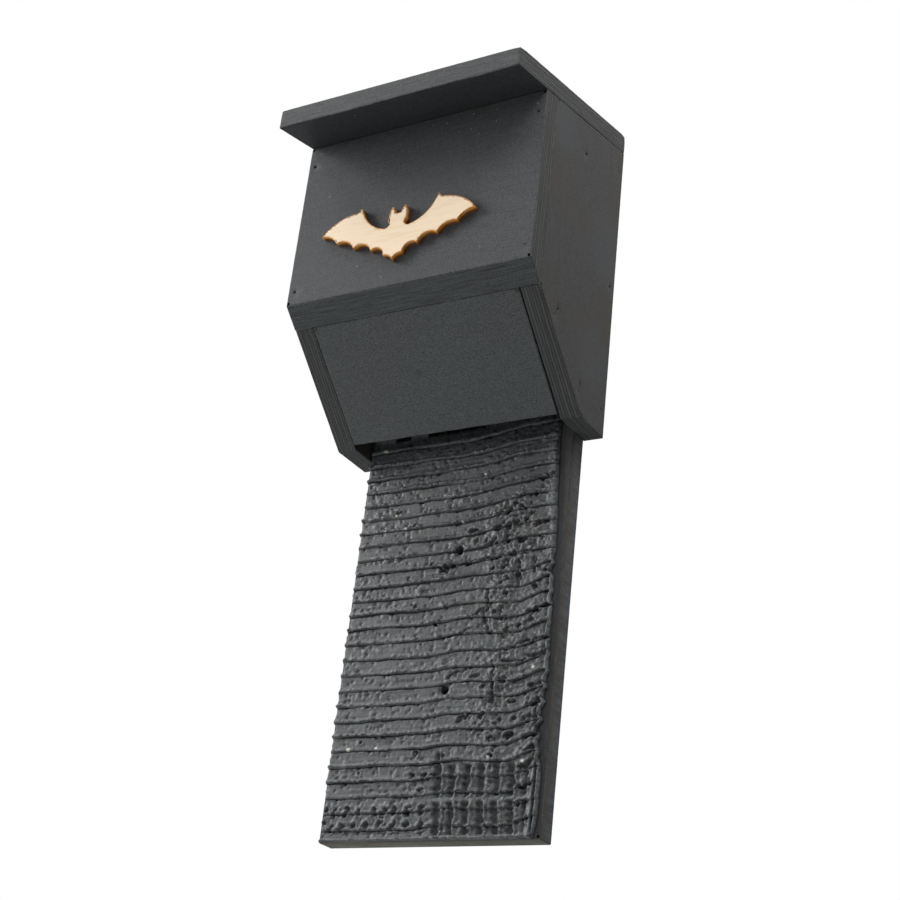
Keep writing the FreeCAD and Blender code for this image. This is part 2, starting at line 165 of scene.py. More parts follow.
def encloses(rim: Array, points: Array) -> Array:
    """Whether points lie inside a closed outline: a ray from each one crosses it an odd number of times.

    Args:
        rim: Corners of the outline, in order.
        points: Points to test.

    Returns:
        One truth value for each point.
    """
    ahead = np.roll(rim, -1, axis=0)
    odd = np.zeros(len(points), bool)
    for block in np.array_split(np.arange(len(points)), max(1, len(points) // 2048)):
        x, y = points[block, 0][:, None], points[block, 1][:, None]
        spans = (rim[None, :, 1] > y) != (ahead[None, :, 1] > y)
        rise = np.where(spans, ahead[None, :, 1] - rim[None, :, 1], 1.0)
        cross = rim[None, :, 0] + (y - rim[None, :, 1]) * (ahead[None, :, 0] - rim[None, :, 0]) / rise
        odd[block] = (spans & (x < cross)).sum(1) % 2 == 1
    return odd


# Meshes.


def grid_quads(index: Array) -> Array:
    """Quads of a grid of points whose indices stand in rows and columns."""
    return np.stack((index[:-1, :-1], index[1:, :-1], index[1:, 1:], index[:-1, 1:]), axis=-1).reshape(-1, 4)


def closed_strip(one: Array, two: Array) -> Array:
    """Quads between two rings with equally many points."""
    return np.stack((one, two, np.roll(two, -1), np.roll(one, -1)), axis=-1)


@dataclass(frozen=True)
class Spot:
    """Small round spot on a face, such as a speck of paint."""

    centre: tuple[float, float, float]
    radius: float
    value: float = 1.0


class Shell:
    """One closed surface, gathered as blocks of points and faces and made a mesh at the end."""

    def __init__(self, *channels: str) -> None:
        """Start an empty surface.

        Args:
            channels: Names of the values that every point carries.
        """
        self.channels = channels
        self.points: list[Array] = []
        self.values: list[Array] = []
        self.faces: list[list[int]] = []
        self.count = 0

    def add_points(self, points: Array, **values: Array | float) -> int:
        """Add points with their values.

        Args:
            points: Places, one row each.
            values: One number or array for each channel; a channel that isn't given is 0.

        Returns:
            Index of the first point.
        """
        block = np.asarray(points, float).reshape(-1, 3)
        sheet = np.zeros((len(block), len(self.channels)))
        for column, channel in enumerate(self.channels):
            value = np.ravel(values.get(channel, 0.0))
            sheet[:, column] = value if len(value) > 1 else value[0]
        start = self.count
        self.points.append(block)
        self.values.append(sheet)
        self.count += len(block)
        return start

    def add_faces(self, faces: Array) -> None:
        """Add faces with equally many corners, as rows of point indices."""
        self.faces.extend(np.asarray(faces, int).tolist())

    def add_sheet(self, loops: Sequence[Array], outward: Array, spacing: float = 4.0 * MM,
                  spots: Sequence[Spot] = (), **values: float) -> None:
        """Fill a flat outline with holes in it by evenly spaced points and triangles.

        Args:
            loops: Indices of the outline's points and then of each hole's.
            outward: Direction in which the faces look.
            spacing: Distance between the points inside.
            spots: Places with a ring of points of their own.
            values: Values of the points inside.
        """
        places = np.concatenate(self.points)
        normal = np.asarray(outward, float)
        across = np.cross((0.0, 0.0, 1.0) if abs(normal[2]) < 0.9 else (0.0, 1.0, 0.0), normal)
        across /= np.linalg.norm(across)
        basis = np.stack((across, np.cross(normal, across)), axis=1)
        level = places[loops[0]].mean(0) @ normal
        rims = [places[loop] @ basis for loop in loops]

        low, high = rims[0].min(0), rims[0].max(0)
        lattice = [np.arange(a + spacing / 2, b, spacing) for a, b in zip(low, high)]
        inside = np.stack(np.meshgrid(*lattice, indexing="ij"), axis=-1).reshape(-1, 2)
        shaken = np.stack([hashed(np.arange(len(inside)), axis, 7) - 0.5 for axis in (0, 1)], axis=1)
        inside += spacing * 0.15 * shaken
        keep = encloses(rims[0], inside)
        for rim in rims[1:]:
            keep &= ~encloses(rim, inside)
        for rim in rims:
            for share in (0.0, 0.5):
                nodes = rim + share * (np.roll(rim, -1, axis=0) - rim)
                for point in np.array_split(np.arange(len(nodes)), max(1, len(nodes) // 64)):
                    gap = np.linalg.norm(inside[:, None] - nodes[None, point], axis=2).min(1)
                    keep &= gap > 0.6 * spacing
        extra, tags = [], []
        for spot in spots:
            middle = np.asarray(spot.centre) @ basis
            keep &= np.linalg.norm(inside - middle, axis=1) > spot.radius * 1.3 + 0.5 * spacing
            turn = 2 * math.pi * np.arange(10) / 10
            disc = np.stack((np.cos(turn), np.sin(turn)), axis=1) * spot.radius
            extra += [middle[None], middle + disc, middle + 1.3 * disc]
            tags += [np.full(1, spot.value), np.full(10, spot.value), np.zeros(10)]
        inside = np.concatenate([inside[keep]] + extra)
        marked = np.concatenate([np.zeros(int(keep.sum()))] + tags)
        lifted = inside @ basis.T + level * normal
        if len(inside):
            fresh = self.add_points(lifted, **{**values, "speck": marked})
            index = np.concatenate(list(loops) + [fresh + np.arange(len(inside))])
        else:
            index = np.concatenate(loops)
        flat = np.concatenate(rims + [inside]) / MM

        seams, first = [], 0
        for rim in rims:
            step = np.arange(len(rim))
            seams.append(np.stack((first + step, first + (step + 1) % len(rim)), axis=1))
            first += len(rim)
        corners = [Vector(point) for point in flat]
        found = delaunay_2d_cdt(corners, np.concatenate(seams).tolist(), [], 0, 1e-6, True)
        origin = np.array([min(ids) if ids else -1 for ids in found[3]])
        triangles = origin[np.array(found[2], int)]
        triangles = triangles[(triangles >= 0).all(1)]
        middles = flat[triangles].mean(1) * MM
        good = encloses(rims[0], middles)
        for rim in rims[1:]:
            good &= ~encloses(rim, middles)
        self.add_faces(index[triangles[good]])

    def build(self, name: str, smooth: bool = True) -> bpy.types.Object:
        """Make the mesh and its object.

        Args:
            name: Name of the piece.
            smooth: Whether its faces are shaded smooth.

        Returns:
            The new object.
        """
        mesh = bpy.data.meshes.new(name)
        mesh.from_pydata(np.concatenate(self.points).tolist(), [], self.faces)
        mesh.polygons.foreach_set("use_smooth", np.full(len(mesh.polygons), smooth))
        sheet = np.concatenate(self.values)
        for column, channel in enumerate(self.channels):
            attribute = mesh.attributes.new(channel, "FLOAT", "POINT")
            attribute.data.foreach_set("value", sheet[:, column].astype(np.float32))
        mesh.update()
        piece = bpy.data.objects.new(name, mesh)
        bpy.context.scene.collection.objects.link(piece)
        log.info("%s: %d points, %d faces", name, self.count, len(self.faces))
        return piece


def dress(piece: bpy.types.Object, slot: str, finish: bpy.types.Material, *nodes: str) -> bpy.types.Object:
    """Fix a finished piece to the frame.

    Args:
        piece: The piece, already in its place.
        slot: Name of a material slot; not used.
        finish: Its material.
        nodes: Solids that it stands for.

    Returns:
        The same piece.
    """
    piece.data.materials.append(finish)
    if nodes:
        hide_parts(*nodes)
    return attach(piece, "root")


# Materials.


class Bench:
    """Node tree of one material, filled step by step."""

    def __init__(self, name: str) -> None:
        """Start a material with a principled shader.

        Args:
            name: Name of the material.
        """
        self.material = bpy.data.materials.new(name)
        self.material.use_nodes = True
        self.tree = self.material.node_tree
        self.shader = self.tree.nodes["Principled BSDF"]

    def node(self, kind: str, inputs: dict | None = None, **settings: object) -> bpy.types.Node:
        """Add a node.

        Args:
            kind: Blender's name of the node type, without its first words.
            inputs: Value or socket for each input, by name or place.
            settings: The node's own settings.

        Returns:
            The new node.
        """
        made = self.tree.nodes.new("ShaderNode" + kind)
        for key, value in settings.items():
            setattr(made, key, value)
        for key, value in (inputs or {}).items():
            self.put(made.inputs[key], value)
        return made

    def put(self, socket: Socket, value: object) -> None:
        """Link a socket to an input, or set the input's own value."""
        if isinstance(value, Socket):
            self.tree.links.new(value, socket)
        else:
            socket.default_value = value

    def math(self, operation: str, *values: object, clamp: bool = False) -> Socket:
        """Result of a Math node on two or three values."""
        made = self.node("Math", dict(enumerate(values)), operation=operation, use_clamp=clamp)
        return made.outputs[0]

    def band(self, value: object, low: float, high: float) -> Socket:
        """Soft step from 0 at low to 1 at high."""
        made = self.node("MapRange", {"Value": value, "From Min": low, "From Max": high},
                         interpolation_type="SMOOTHSTEP")
        return made.outputs[0]

    def fall(self, value: object, low: float, high: float) -> Socket:
        """Soft step from 1 at low to 0 at high."""
        return self.math("SUBTRACT", 1.0, self.band(value, low, high))

    def times(self, one: object, two: object, clamp: bool = False) -> Socket:
        """Product of two values."""
        return self.math("MULTIPLY", one, two, clamp=clamp)

    def times_plus(self, one: object, two: object, added: object) -> Socket:
        """Product of two values, plus a third."""
        return self.math("MULTIPLY_ADD", one, two, added)

    def apart(self, place: object, point: Sequence[float]) -> Socket:
        """Distance of a place from a point."""
        return self.node("VectorMath", {0: place, 1: tuple(point)}, operation="DISTANCE").outputs["Value"]

    def mix(self, share: object, first: object, second: object) -> Socket:
        """Blend of two colours."""
        made = self.node("Mix", data_type="RGBA")
        self.put(made.inputs[0], share)
        self.put(made.inputs[6], first)
        self.put(made.inputs[7], second)
        return made.outputs[2]

    def value(self, channel: str) -> Socket:
        """A value that the mesh's points carry."""
        return self.node("Attribute", attribute_name=channel).outputs["Fac"]

    def place(self, turn: float = 0.0, stretch: Sequence[float] = (1, 1, 1)) -> Socket:
        """Object coordinates, turned about X and stretched.

        Args:
            turn: Turn about the X axis, in radians.
            stretch: Scale along each axis after the turn.

        Returns:
            The vector socket.
        """
        found = self.node("TexCoord").outputs["Object"]
        turned = self.node("Mapping", {"Vector": found, "Rotation": (turn, 0, 0)})
        return self.node("Mapping", {"Vector": turned.outputs[0], "Scale": tuple(stretch)}).outputs[0]

    def cloud(self, place: object, scale: float, detail: float = 3.0, rough: float = 0.55) -> Socket:
        """Cloudy noise around 0.5."""
        made = self.node("TexNoise", {"Vector": place, "Scale": scale, "Detail": detail, "Roughness": rough})
        return made.outputs["Fac"]

    def finish(self, colour: object, roughness: object, height: object, depth: float) -> bpy.types.Material:
        """Join colour, roughness and relief to the shader.

        Args:
            colour: Base colour.
            roughness: Roughness.
            height: Relief, in shares of depth.
            depth: Height of the relief, in metres.

        Returns:
            The finished material.
        """
        self.put(self.shader.inputs["Base Color"], colour)
        self.put(self.shader.inputs["Roughness"], roughness)
        relief = self.node("Bump", {"Height": height, "Strength": 1.0, "Distance": depth})
        self.put(self.shader.inputs["Normal"], relief.outputs[0])
        return self.material


def shaded(colour: Colour, factor: float) -> Colour:
    """The colour, lighter or darker by a factor."""
    return tuple(factor * channel for channel in colour[:3]) + (1,)


@dataclass(frozen=True)
class EdgeLook:
    """Looks of one cut edge: how plainly its plies show, and how much olive wood shows through the paint."""

    plies: float = 0.6
    raw: float = 0.0


@dataclass(frozen=True)
class PaintedPly:
    """Thin black paint on plywood: pores and strokes on the faces, plies on the cut edges, rubbed arrises."""

    name: str
    turn: float
    fibres: tuple[float, float, float]
    strokes: tuple[float, float, float]
    layers: tuple[float, float, float]
    paint: Colour = (0.070, 0.072, 0.076, 1)
    edge_paint: Colour = (0.057, 0.060, 0.062, 1)
    worn: Colour = (0.20, 0.205, 0.195, 1)
    glue: Colour = (0.014, 0.014, 0.015, 1)
    earth: Colour = (0.078, 0.069, 0.056, 1)
    raw: Colour = (0.125, 0.122, 0.100, 1)
    earth_share: float = 0.25
    knot: tuple[float, float, float] = (0.0, 0.0, 0.0)
    knot_radius: float = 0.0
    grain: tuple[float, float, float] = (0.22, 0.20, 0.58)
    stain: float = 0.0
    cool: Colour = (0.086, 0.091, 0.098, 1)
    cool_spots: tuple[tuple[float, float, float, float], ...] = ()
    specular: float = 0.07

    def face(self, bench: Bench, plain: Socket, blot: Socket, tone: Socket) -> Socket:
        """Colour of the faces: brownish where the paint is thin, bluish where it is thick, darker at a knot.

        Args:
            bench: The material's node tree.
            plain: Object coordinates.
            blot: Wide cloudy noise.
            tone: Fine noise of pores, strokes and pebbles.

        Returns:
            The colour.
        """
        light = bench.band(tone, 0.34, 0.66)
        face = bench.mix(light, shaded(self.paint, 0.66), shaded(self.paint, 1.34))
        thin = bench.times(bench.band(blot, 0.42, 0.68), self.earth_share)
        face = bench.mix(thin, face, self.earth)
        for x, y, z, reach in self.cool_spots:
            apart = bench.times_plus(blot, 0.03, bench.apart(plain, (x, y, z)))
            patch = bench.fall(apart, 0.5 * reach + 0.015, 1.2 * reach + 0.015)
            lit = bench.mix(light, shaded(self.cool, 0.8), shaded(self.cool, 1.2))
            face = bench.mix(bench.times(patch, 0.6), face, lit)
        if self.knot_radius:
            ring = bench.times_plus(blot, 0.0012, bench.apart(plain, self.knot))
            core = bench.fall(ring, 0.6 * self.knot_radius, 1.3 * self.knot_radius)
            face = bench.mix(bench.times(core, 0.28), face, self.glue)
        return face

    def cut(self, bench: Bench, plain: Socket, grit: Socket) -> tuple[Socket, Socket]:
        """Colour of the cut edges: fine layers, and where they show seven plies between dark glue lines.

        Args:
            bench: The material's node tree.
            plain: Object coordinates.
            grit: Fine noise along the layers.

        Returns:
            The colour, and how plainly a glue line shows.
        """
        ply, shown = bench.value("ply"), bench.value("plies")
        wavy = bench.math("ADD", ply, bench.times_plus(bench.cloud(plain, 45.0), 0.024, -0.012))
        sevenths = bench.times(wavy, 7.0)
        halfway = bench.math("FRACT", bench.math("ADD", sevenths, 0.5))
        line = bench.fall(bench.math("ABSOLUTE", bench.math("SUBTRACT", halfway, 0.5)), 0.05, 0.21)
        ends = bench.times(bench.band(ply, 0.04, 0.08), bench.fall(ply, 0.92, 0.96))
        line = bench.times(bench.times(line, ends), shown)
        odd = bench.times(bench.math("PINGPONG", bench.math("FLOOR", sevenths), 1.0), shown)
        light = bench.band(grit, 0.36, 0.64)
        wood = bench.mix(light, shaded(self.edge_paint, 0.62), shaded(self.edge_paint, 1.38))
        bare = bench.mix(light, shaded(self.raw, 0.7), shaded(self.raw, 1.25))
        wood = bench.mix(bench.value("raw"), wood, bare)
        if self.stain:
            wood = bench.mix(bench.times(bench.fall(ply, 0.05, 0.6), self.stain), wood, self.earth)
        wood = bench.mix(bench.times(odd, 0.13), wood, self.worn)
        return bench.mix(bench.times(line, 0.82), wood, self.glue), line

    def rubbed(self, bench: Bench, plain: Socket, colour: Socket) -> Socket:
        """The colour with its arrises rubbed pale where the noise lets it."""
        scratches = bench.times(bench.cloud(plain, 420.0, 3.0), 0.45)
        patches = bench.times_plus(bench.cloud(plain, 34.0), 0.55, scratches)
        worn = bench.times(bench.band(bench.value("wear"), 0.12, 0.7), bench.band(patches, 0.47, 0.60))
        return bench.mix(bench.times(worn, 0.75), colour, self.worn)

    @staticmethod
    def dusted(bench: Bench, plain: Socket, colour: Socket) -> Socket:
        """The colour with small specks of dust and paint."""
        cells = bench.node("TexVoronoi", {"Vector": plain, "Scale": 130.0})
        pick = bench.node("SeparateColor", {0: cells.outputs["Color"]})
        speck = bench.times(bench.math("LESS_THAN", cells.outputs["Distance"], 0.05),
                            bench.math("GREATER_THAN", pick.outputs[0], 0.95))
        speck = bench.math("MAXIMUM", bench.times(speck, 0.45), bench.value("speck"))
        return bench.mix(speck, colour, (0.36, 0.36, 0.35, 1))

    def material(self) -> bpy.types.Material:
        """Material of one board."""
        bench = Bench(self.name)
        plain = bench.place()
        fibres = bench.cloud(bench.place(self.turn, self.fibres), 1.0, 3.0, 0.6)
        strokes = bench.cloud(bench.place(self.turn, self.strokes), 1.0, 4.0, 0.6)
        layers = bench.cloud(bench.place(self.turn, self.layers), 1.0, 4.0, 0.65)
        pebble = bench.cloud(plain, 1250.0, 2.0, 0.7)
        blot = bench.cloud(plain, 15.0, 4.0, 0.6)
        pores, sweep, dots = self.grain
        tone = bench.times_plus(fibres, pores, bench.times(strokes, sweep))
        tone = bench.times_plus(pebble, dots, tone)
        grit = bench.times_plus(layers, 0.62, bench.times(pebble, 0.38))
        wood, line = self.cut(bench, plain, grit)
        edge = bench.value("edge")
        colour = bench.mix(edge, self.face(bench, plain, blot, tone), wood)
        colour = self.dusted(bench, plain, self.rubbed(bench, plain, colour))

        bench.shader.inputs["Specular IOR Level"].default_value = self.specular
        roughness = bench.times_plus(strokes, 0.2, 0.45)
        flat = bench.times_plus(fibres, 0.35, bench.times(pebble, 0.45))
        flat = bench.times_plus(strokes, 0.35, flat)
        cut = bench.math("SUBTRACT", bench.times(grit, 1.5), bench.times(line, 0.5))
        height = bench.node("Mix", {0: edge, 2: flat, 3: cut}, data_type="FLOAT").outputs[0]
        return bench.finish(colour, roughness, height, 0.22 * MM)


@dataclass(frozen=True)
class GripPaint:
    """Black paint over the rough coat, satin and gritty; painted shade darkens its pores and recesses, and
    rubbed paint with a painted highlight greys its crests.
    """

    name: str = "grip_paint"
    paint: Colour = (0.0575, 0.063, 0.067, 1)
    deep: Colour = (0.012, 0.0125, 0.013, 1)
    crest: Colour = (0.148, 0.155, 0.162, 1)
    clay: Colour = (0.080, 0.078, 0.060, 1)
    grain: Colour = (0.60, 0.58, 0.50, 1)
    smear_and_highlight: Colour = (0.25, 0.272, 0.288, 1)

    def material(self) -> bpy.types.Material:
        """Material of the coat."""
        bench = Bench(self.name)
        plain = bench.place()
        rough, crest = bench.value("rough"), bench.value("crest")
        mottle = bench.cloud(plain, 60.0, 4.0)
        grit = bench.cloud(plain, 560.0, 5.0, 0.7)
        coarse = bench.cloud(plain, 300.0, 1.0, 0.5)
        pimples = bench.cloud(plain, 1150.0, 1.0, 0.5)

        # Pores are small holes in half of the cells, darkened with painted shade, and crumbs are domes where
        # the coat is rough.
        cells = bench.node("TexVoronoi", {"Vector": plain, "Scale": 430.0})
        pick = bench.node("SeparateColor", {0: cells.outputs["Color"]})
        pore = bench.fall(cells.outputs["Distance"], 0.13, 0.27)
        pore = bench.times(pore, bench.band(pick.outputs[0], 0.55, 0.62))
        lumps = bench.node("TexVoronoi", {"Vector": plain, "Scale": 640.0})
        dome = bench.times(bench.fall(lumps.outputs["Distance"], 0.1, 0.6), rough)

        streaks = bench.cloud(bench.place(0.0, (45, 45, 1300)), 1.0, 3.0, 0.6)
        tone = bench.times_plus(mottle, 0.2, bench.times(grit, 0.5))
        tone = bench.times_plus(streaks, 0.3, tone)
        colour = bench.mix(bench.band(tone, 0.38, 0.62), shaded(self.paint, 0.62),
                           shaded(self.paint, 1.38))
        olive = bench.times(bench.band(bench.cloud(plain, 70.0, 2.0), 0.54, 0.68),
                           bench.times_plus(rough, 0.4, 0.1))
        colour = bench.mix(olive, colour, self.clay)
        # Crests turn greyer: partly rubbed paint, partly a painted highlight on the raised coat.
        worn = bench.times_plus(crest, 0.95, 0.12)
        colour = bench.mix(bench.times(worn, bench.band(grit, 0.42, 0.58)), colour, self.crest)
        # The bead along the right edge: pale smeared coat, brightened further as a painted highlight.
        colour = bench.mix(bench.times(bench.value("lip"), 0.75), colour, self.smear_and_highlight)
        # Painted shade: dark colour in the pores and in the coat's marks, grooves, creases, gullies and under
        # each step line.
        colour = bench.mix(bench.times(pore, 0.8), colour, self.deep)
        colour = bench.mix(bench.value("recess_shade"), colour, self.deep)
        colour = bench.mix(bench.value("pale"), colour, self.grain)
        bench.shader.inputs["Specular IOR Level"].default_value = 0.25
        roughness = bench.times_plus(mottle, 0.22, 0.34)
        height = bench.times(pimples, bench.times_plus(rough, 0.5, 0.6))
        height = bench.times_plus(coarse, 0.3, height)
        height = bench.times_plus(streaks, 0.15, height)
        height = bench.times_plus(dome, 0.5, height)
        height = bench.times_plus(pore, -0.6, height)
        return bench.finish(colour, roughness, height, 0.12 * MM)


@dataclass(frozen=True)
class PalePly:
    """Sanded pale plywood with edges burnt by the cut."""

    name: str = "pale_ply"
    wood: Colour = (0.94, 0.765, 0.555, 1)
    shade: Colour = (0.89, 0.69, 0.465, 1)
    scorch: Colour = (0.70, 0.275, 0.025, 1)
    char: Colour = (0.060, 0.018, 0.005, 1)

    def material(self) -> bpy.types.Material:
        """Material of the emblem."""
        bench = Bench(self.name)
        along = bench.place(0.0, (60.0, 300.0, 520.0))
        plain = bench.place()
        grain = bench.cloud(along, 1.0, 5.0, 0.6)
        colour = bench.mix(bench.band(grain, 0.4, 0.72), self.wood, self.shade)
        burn = bench.value("burn")
        uneven = bench.times_plus(bench.cloud(plain, 210.0), 0.8, 0.5)
        smoke = bench.times(bench.band(burn, 0.05, 0.75), uneven, clamp=True)
        colour = bench.mix(smoke, colour, self.scorch)
        depth = bench.value("ply")
        black = bench.times(bench.math("GREATER_THAN", burn, 0.9),
                           bench.band(bench.times_plus(bench.cloud(plain, 320.0), 0.5, depth), 0.45, 0.95))
        colour = bench.mix(bench.times(black, 0.85), colour, self.char)
        bench.shader.inputs["Specular IOR Level"].default_value = 0.25
        return bench.finish(colour, 0.55, grain, 0.08 * MM)


@dataclass(frozen=True)
class PaintedSteel:
    """Steel wire with paint run over its head."""

    name: str = "painted_steel"

    def material(self) -> bpy.types.Material:
        """Material of the fasteners."""
        bench = Bench(self.name)
        spots = bench.cloud(bench.place(), 900.0, 3.0)
        colour = bench.mix(bench.band(spots, 0.45, 0.6), (0.02, 0.02, 0.021, 1), (0.10, 0.095, 0.09, 1))
        bench.shader.inputs["Metallic"].default_value = 0.6
        return bench.finish(colour, 0.5, spots, 0.05 * MM)


@dataclass(frozen=True)
class PaleGround:
    """Plain pale floor, white to the camera where nothing shades it."""

    name: str = "pale_ground"

    def material(self) -> bpy.types.Material:
        """Material of the floor."""
        bench = Bench(self.name)
        bench.shader.inputs["Base Color"].default_value = (0.86, 0.86, 0.85, 1)
        bench.shader.inputs["Roughness"].default_value = 0.9
        bench.shader.inputs["Specular IOR Level"].default_value = 0.1
        return bench.material


# Boards.


@dataclass(frozen=True)
class Recess:
    """Round or long hole in a board's face: a fastener's dent, or a screw hole that goes through."""

    centre: tuple[float, float, float]
    radius: float
    depth: float
    reach: float = 0.0
    lean: float = 0.0


@dataclass
class Board:
    """Plywood board between two flat faces, its cut edges in plies and its arrises rubbed.

    The outlines hold the sharp corners of the outer and of the inner face in the same order.
    """

    name: str
    outer: Array
    inner: Array
    finish: PaintedPly
    recesses: list[Recess] = field(default_factory=list)
    through: list[Recess] = field(default_factory=list)
    looks: tuple[EdgeLook, ...] = (EdgeLook(),)
    radius: float = 0.6 * MM
    chip: float = 0.6 * MM
    broken: tuple[tuple[float, float, float, float], ...] = ()
    spots: list[Spot] = field(default_factory=list)
    seed: int = 1
    step: float = 1.0 * MM
    rims: dict[tuple[float, float, float], list[Array]] = field(default_factory=dict)

    INSETS = np.array([0.12, 0.28, 0.5, 0.85, 1.4, 2.2]) * MM
    TIERS = np.array([0.10, 0.22, 0.36, 0.52, 0.75]) * MM

    def planes(self) -> tuple[Array, Array]:
        """Unit normals and offsets of the board's planes, looking outwards."""
        count = len(self.outer)
        middle = (self.outer.mean(0) + self.inner.mean(0)) / 2
        trios = [self.outer[:3], self.inner[:3]]
        for index in range(count):
            after = (index + 1) % count
            trios.append(np.array([self.outer[index], self.outer[after], self.inner[index]]))
        normals, offsets = [], []
        for a, b, c in trios:
            normal = np.cross(b - a, c - a)
            normal /= np.linalg.norm(normal)
            if normal @ (a - middle) < 0:
                normal = -normal
            normals.append(normal)
            offsets.append(normal @ a)
        return np.array(normals), np.array(offsets)

    def rounded(self, points: Array) -> tuple[Array, Array]:
        """Round the arrises and wear them.

        Each point is drawn to the board shrunk by the radius, and set back out by the radius along the line
        from there. On a face it stays where it is, and at an arris it lands on a round one. Noise then takes
        a little more off the arrises.

        Args:
            points: Points on the sharp board.

        Returns:
            The worn points, and how far each one lies round an arris, from 0 to 1.
        """
        normals, offsets = self.planes()
        radius = np.full(len(points), self.radius)
        for x, y, z, grown in self.broken:
            near = np.linalg.norm(points - np.array([x, y, z]), axis=1) / MM
            radius += (grown - self.radius) * fade(1.0, 6.0, near)
        core = points.copy()
        for _ in range(12):
            for normal, offset in zip(normals, offsets):
                over = np.maximum(core @ normal - (offset - radius), 0.0)
                core -= over[:, None] * normal
        away = points - core
        far = np.linalg.norm(away, axis=1)
        away /= np.maximum(far, 1e-12)[:, None]
        turned = np.clip((far / radius - 1.0) / 0.41, 0.0, 1.0)
        along = (points @ np.array([1.0, 0.83, 1.21])) / MM
        bite = np.clip(noise(along / 2.3, self.seed * 7.0, self.seed) - 0.15, 0, 1)
        bite += 0.6 * np.clip(noise(along / 0.9, self.seed * 3.0, self.seed + 5), 0, 1)
        taken = self.chip * 0.35 * bite * turned
        for x, y, z, grown in self.broken:
            near = np.linalg.norm(points - np.array([x, y, z]), axis=1) / MM
            ragged = noise(along / 0.8, 0.0, self.seed + 9)
            taken += 0.35 * grown * np.clip(ragged, 0, 1) * fade(2.0, 9.0, near) * turned
        return core + (radius - taken)[:, None] * away, turned

    def plies(self, share: Array, along: Array) -> Array:
        """Depth of the plies' relief on a cut edge.

        The glue lines lie in narrow grooves at each seventh of the thickness, and each ply stands back by
        a small amount of its own that changes slowly along the edge.

        Args:
            share: Place through the thickness, from 0 to 1.
            along: Distance along the edge, in millimetres.

        Returns:
            Distance below the cut, in metres.
        """
        sevenths = share * 7.0
        gap = np.abs(sevenths - np.round(sevenths))
        inside = smoothstep(0.03, 0.09, share) * fade(0.91, 0.97, share)
        depth = 0.6 + 0.4 * noise(along / 5.0, np.round(sevenths), self.seed + 2)
        set_back = 0.5 + 0.5 * noise(along / 17.0, np.floor(sevenths), self.seed + 3)
        return inside * (0.13 * fade(0.0, 0.16, gap) * depth + 0.04 * set_back) * MM

    def make(self) -> bpy.types.Object:
        """Build the board's mesh, dress it and put it on the frame."""
        shell = Shell("edge", "ply", "wear", "speck", "plies", "raw")
        normals, _ = self.planes()
        count = len(self.outer)
        looks = self.looks * count if len(self.looks) == 1 else self.looks
        perimeter, runs, corner_normals, shown, raw = [], [], [], [], []
        travelled = 0.0
        for index in range(count):
            start, end = self.outer[index], self.outer[(index + 1) % count]
            low, high = self.inner[index], self.inner[(index + 1) % count]
            length = float(np.linalg.norm(end - start))
            shares = spaced(length, self.step, self.TIERS)[:-1]
            top = start + (end - start) * shares[:, None]
            bottom = low + (high - low) * shares[:, None]
            perimeter.append(np.stack((top, bottom)))
            runs.append((travelled + shares * length) / MM)
            corner_normals.append(np.repeat(normals[2 + index][None], len(shares), axis=0))
            shown.append(np.full(len(shares), looks[index].plies))
            raw.append(np.full(len(shares), looks[index].raw))
            travelled += length
        ring = np.concatenate(perimeter, axis=1)
        along, facing = np.concatenate(runs), np.concatenate(corner_normals)
        shown, raw = np.concatenate(shown), np.concatenate(raw)
        columns = ring.shape[1]
        thick = float(np.linalg.norm(self.outer[0] - self.inner[0]))
        tiers = spaced(thick, 0.3 * MM, self.TIERS)

        # The cut edges, from the outer face to the inner one.
        wall = ring[0][None] + (ring[1] - ring[0])[None] * tiers[:, None, None]
        share = np.repeat(tiers[:, None], columns, axis=1)
        worn, turned = self.rounded(wall.reshape(-1, 3))
        flat = 1.0 - turned
        depth = (self.plies(share, along[None]) * (0.15 + 0.85 * shown)).ravel() * flat
        worn -= depth[:, None] * np.broadcast_to(facing[None], wall.shape).reshape(-1, 3)
        shown, raw = (np.broadcast_to(values, share.shape) for values in (shown, raw))
        first = shell.add_points(worn, edge=1.0, ply=share, wear=turned, plies=shown, raw=raw)
        forward = normals[0] @ np.cross(ring[0][1] - ring[0][0], facing[0]) < 0
        self.add_band(shell, first, len(tiers), columns, bool(forward))

        # The two faces: rings close to the arris, then a flat sheet with its holes.
        for side, outline in ((0, ring[0]), (1, ring[1])):
            centre = outline.mean(0)
            inward = self.inward(outline, normals[side])
            last = np.arange(columns) + first + (0 if side == 0 else (len(tiers) - 1) * columns)
            for inset in self.INSETS:
                worn, turned = self.rounded(outline + inward * inset)
                start = shell.add_points(worn, edge=0.0, ply=float(side), wear=turned)
                fresh = start + np.arange(columns)
                self.add_strip(shell, last, fresh, normals[side])
                last = fresh
            loops = [last]
            for recess in (self.recesses if side == 0 else []):
                loops.append(self.dent(shell, recess, normals[0]))
            for hole in self.through:
                loops.append(self.rim(shell, hole, side, normals[side], thick))
            spots = self.spots if side == 0 else ()
            shell.add_sheet(loops, normals[side], 4.0 * MM, spots, ply=float(side))
        self.add_bores(shell)
        return dress(shell.build(self.name + "_looks"), "painted_plywood", self.finish.material(), self.name)

    @staticmethod
    def inward(outline: Array, normal: Array) -> Array:
        """Directions in which an outline shrinks evenly, at each of its points.

        The two sides that meet at a point each have a normal in the plane, and the point moves along their
        sum, made longer at a corner so that both sides move by the same distance.

        Args:
            outline: Points of the outline, in order.
            normal: Direction in which its face looks.

        Returns:
            One direction for each point.
        """
        area = np.cross(outline, np.roll(outline, -1, axis=0)).sum(0) @ normal
        ahead = np.roll(outline, -1, axis=0) - outline
        ahead /= np.linalg.norm(ahead, axis=1)[:, None]
        behind = np.roll(ahead, 1, axis=0)
        one, two = np.cross(normal, ahead), np.cross(normal, behind)
        if area < 0:
            one, two = -one, -two
        both = one + two
        return both / np.maximum((both * one).sum(1), 0.35)[:, None]

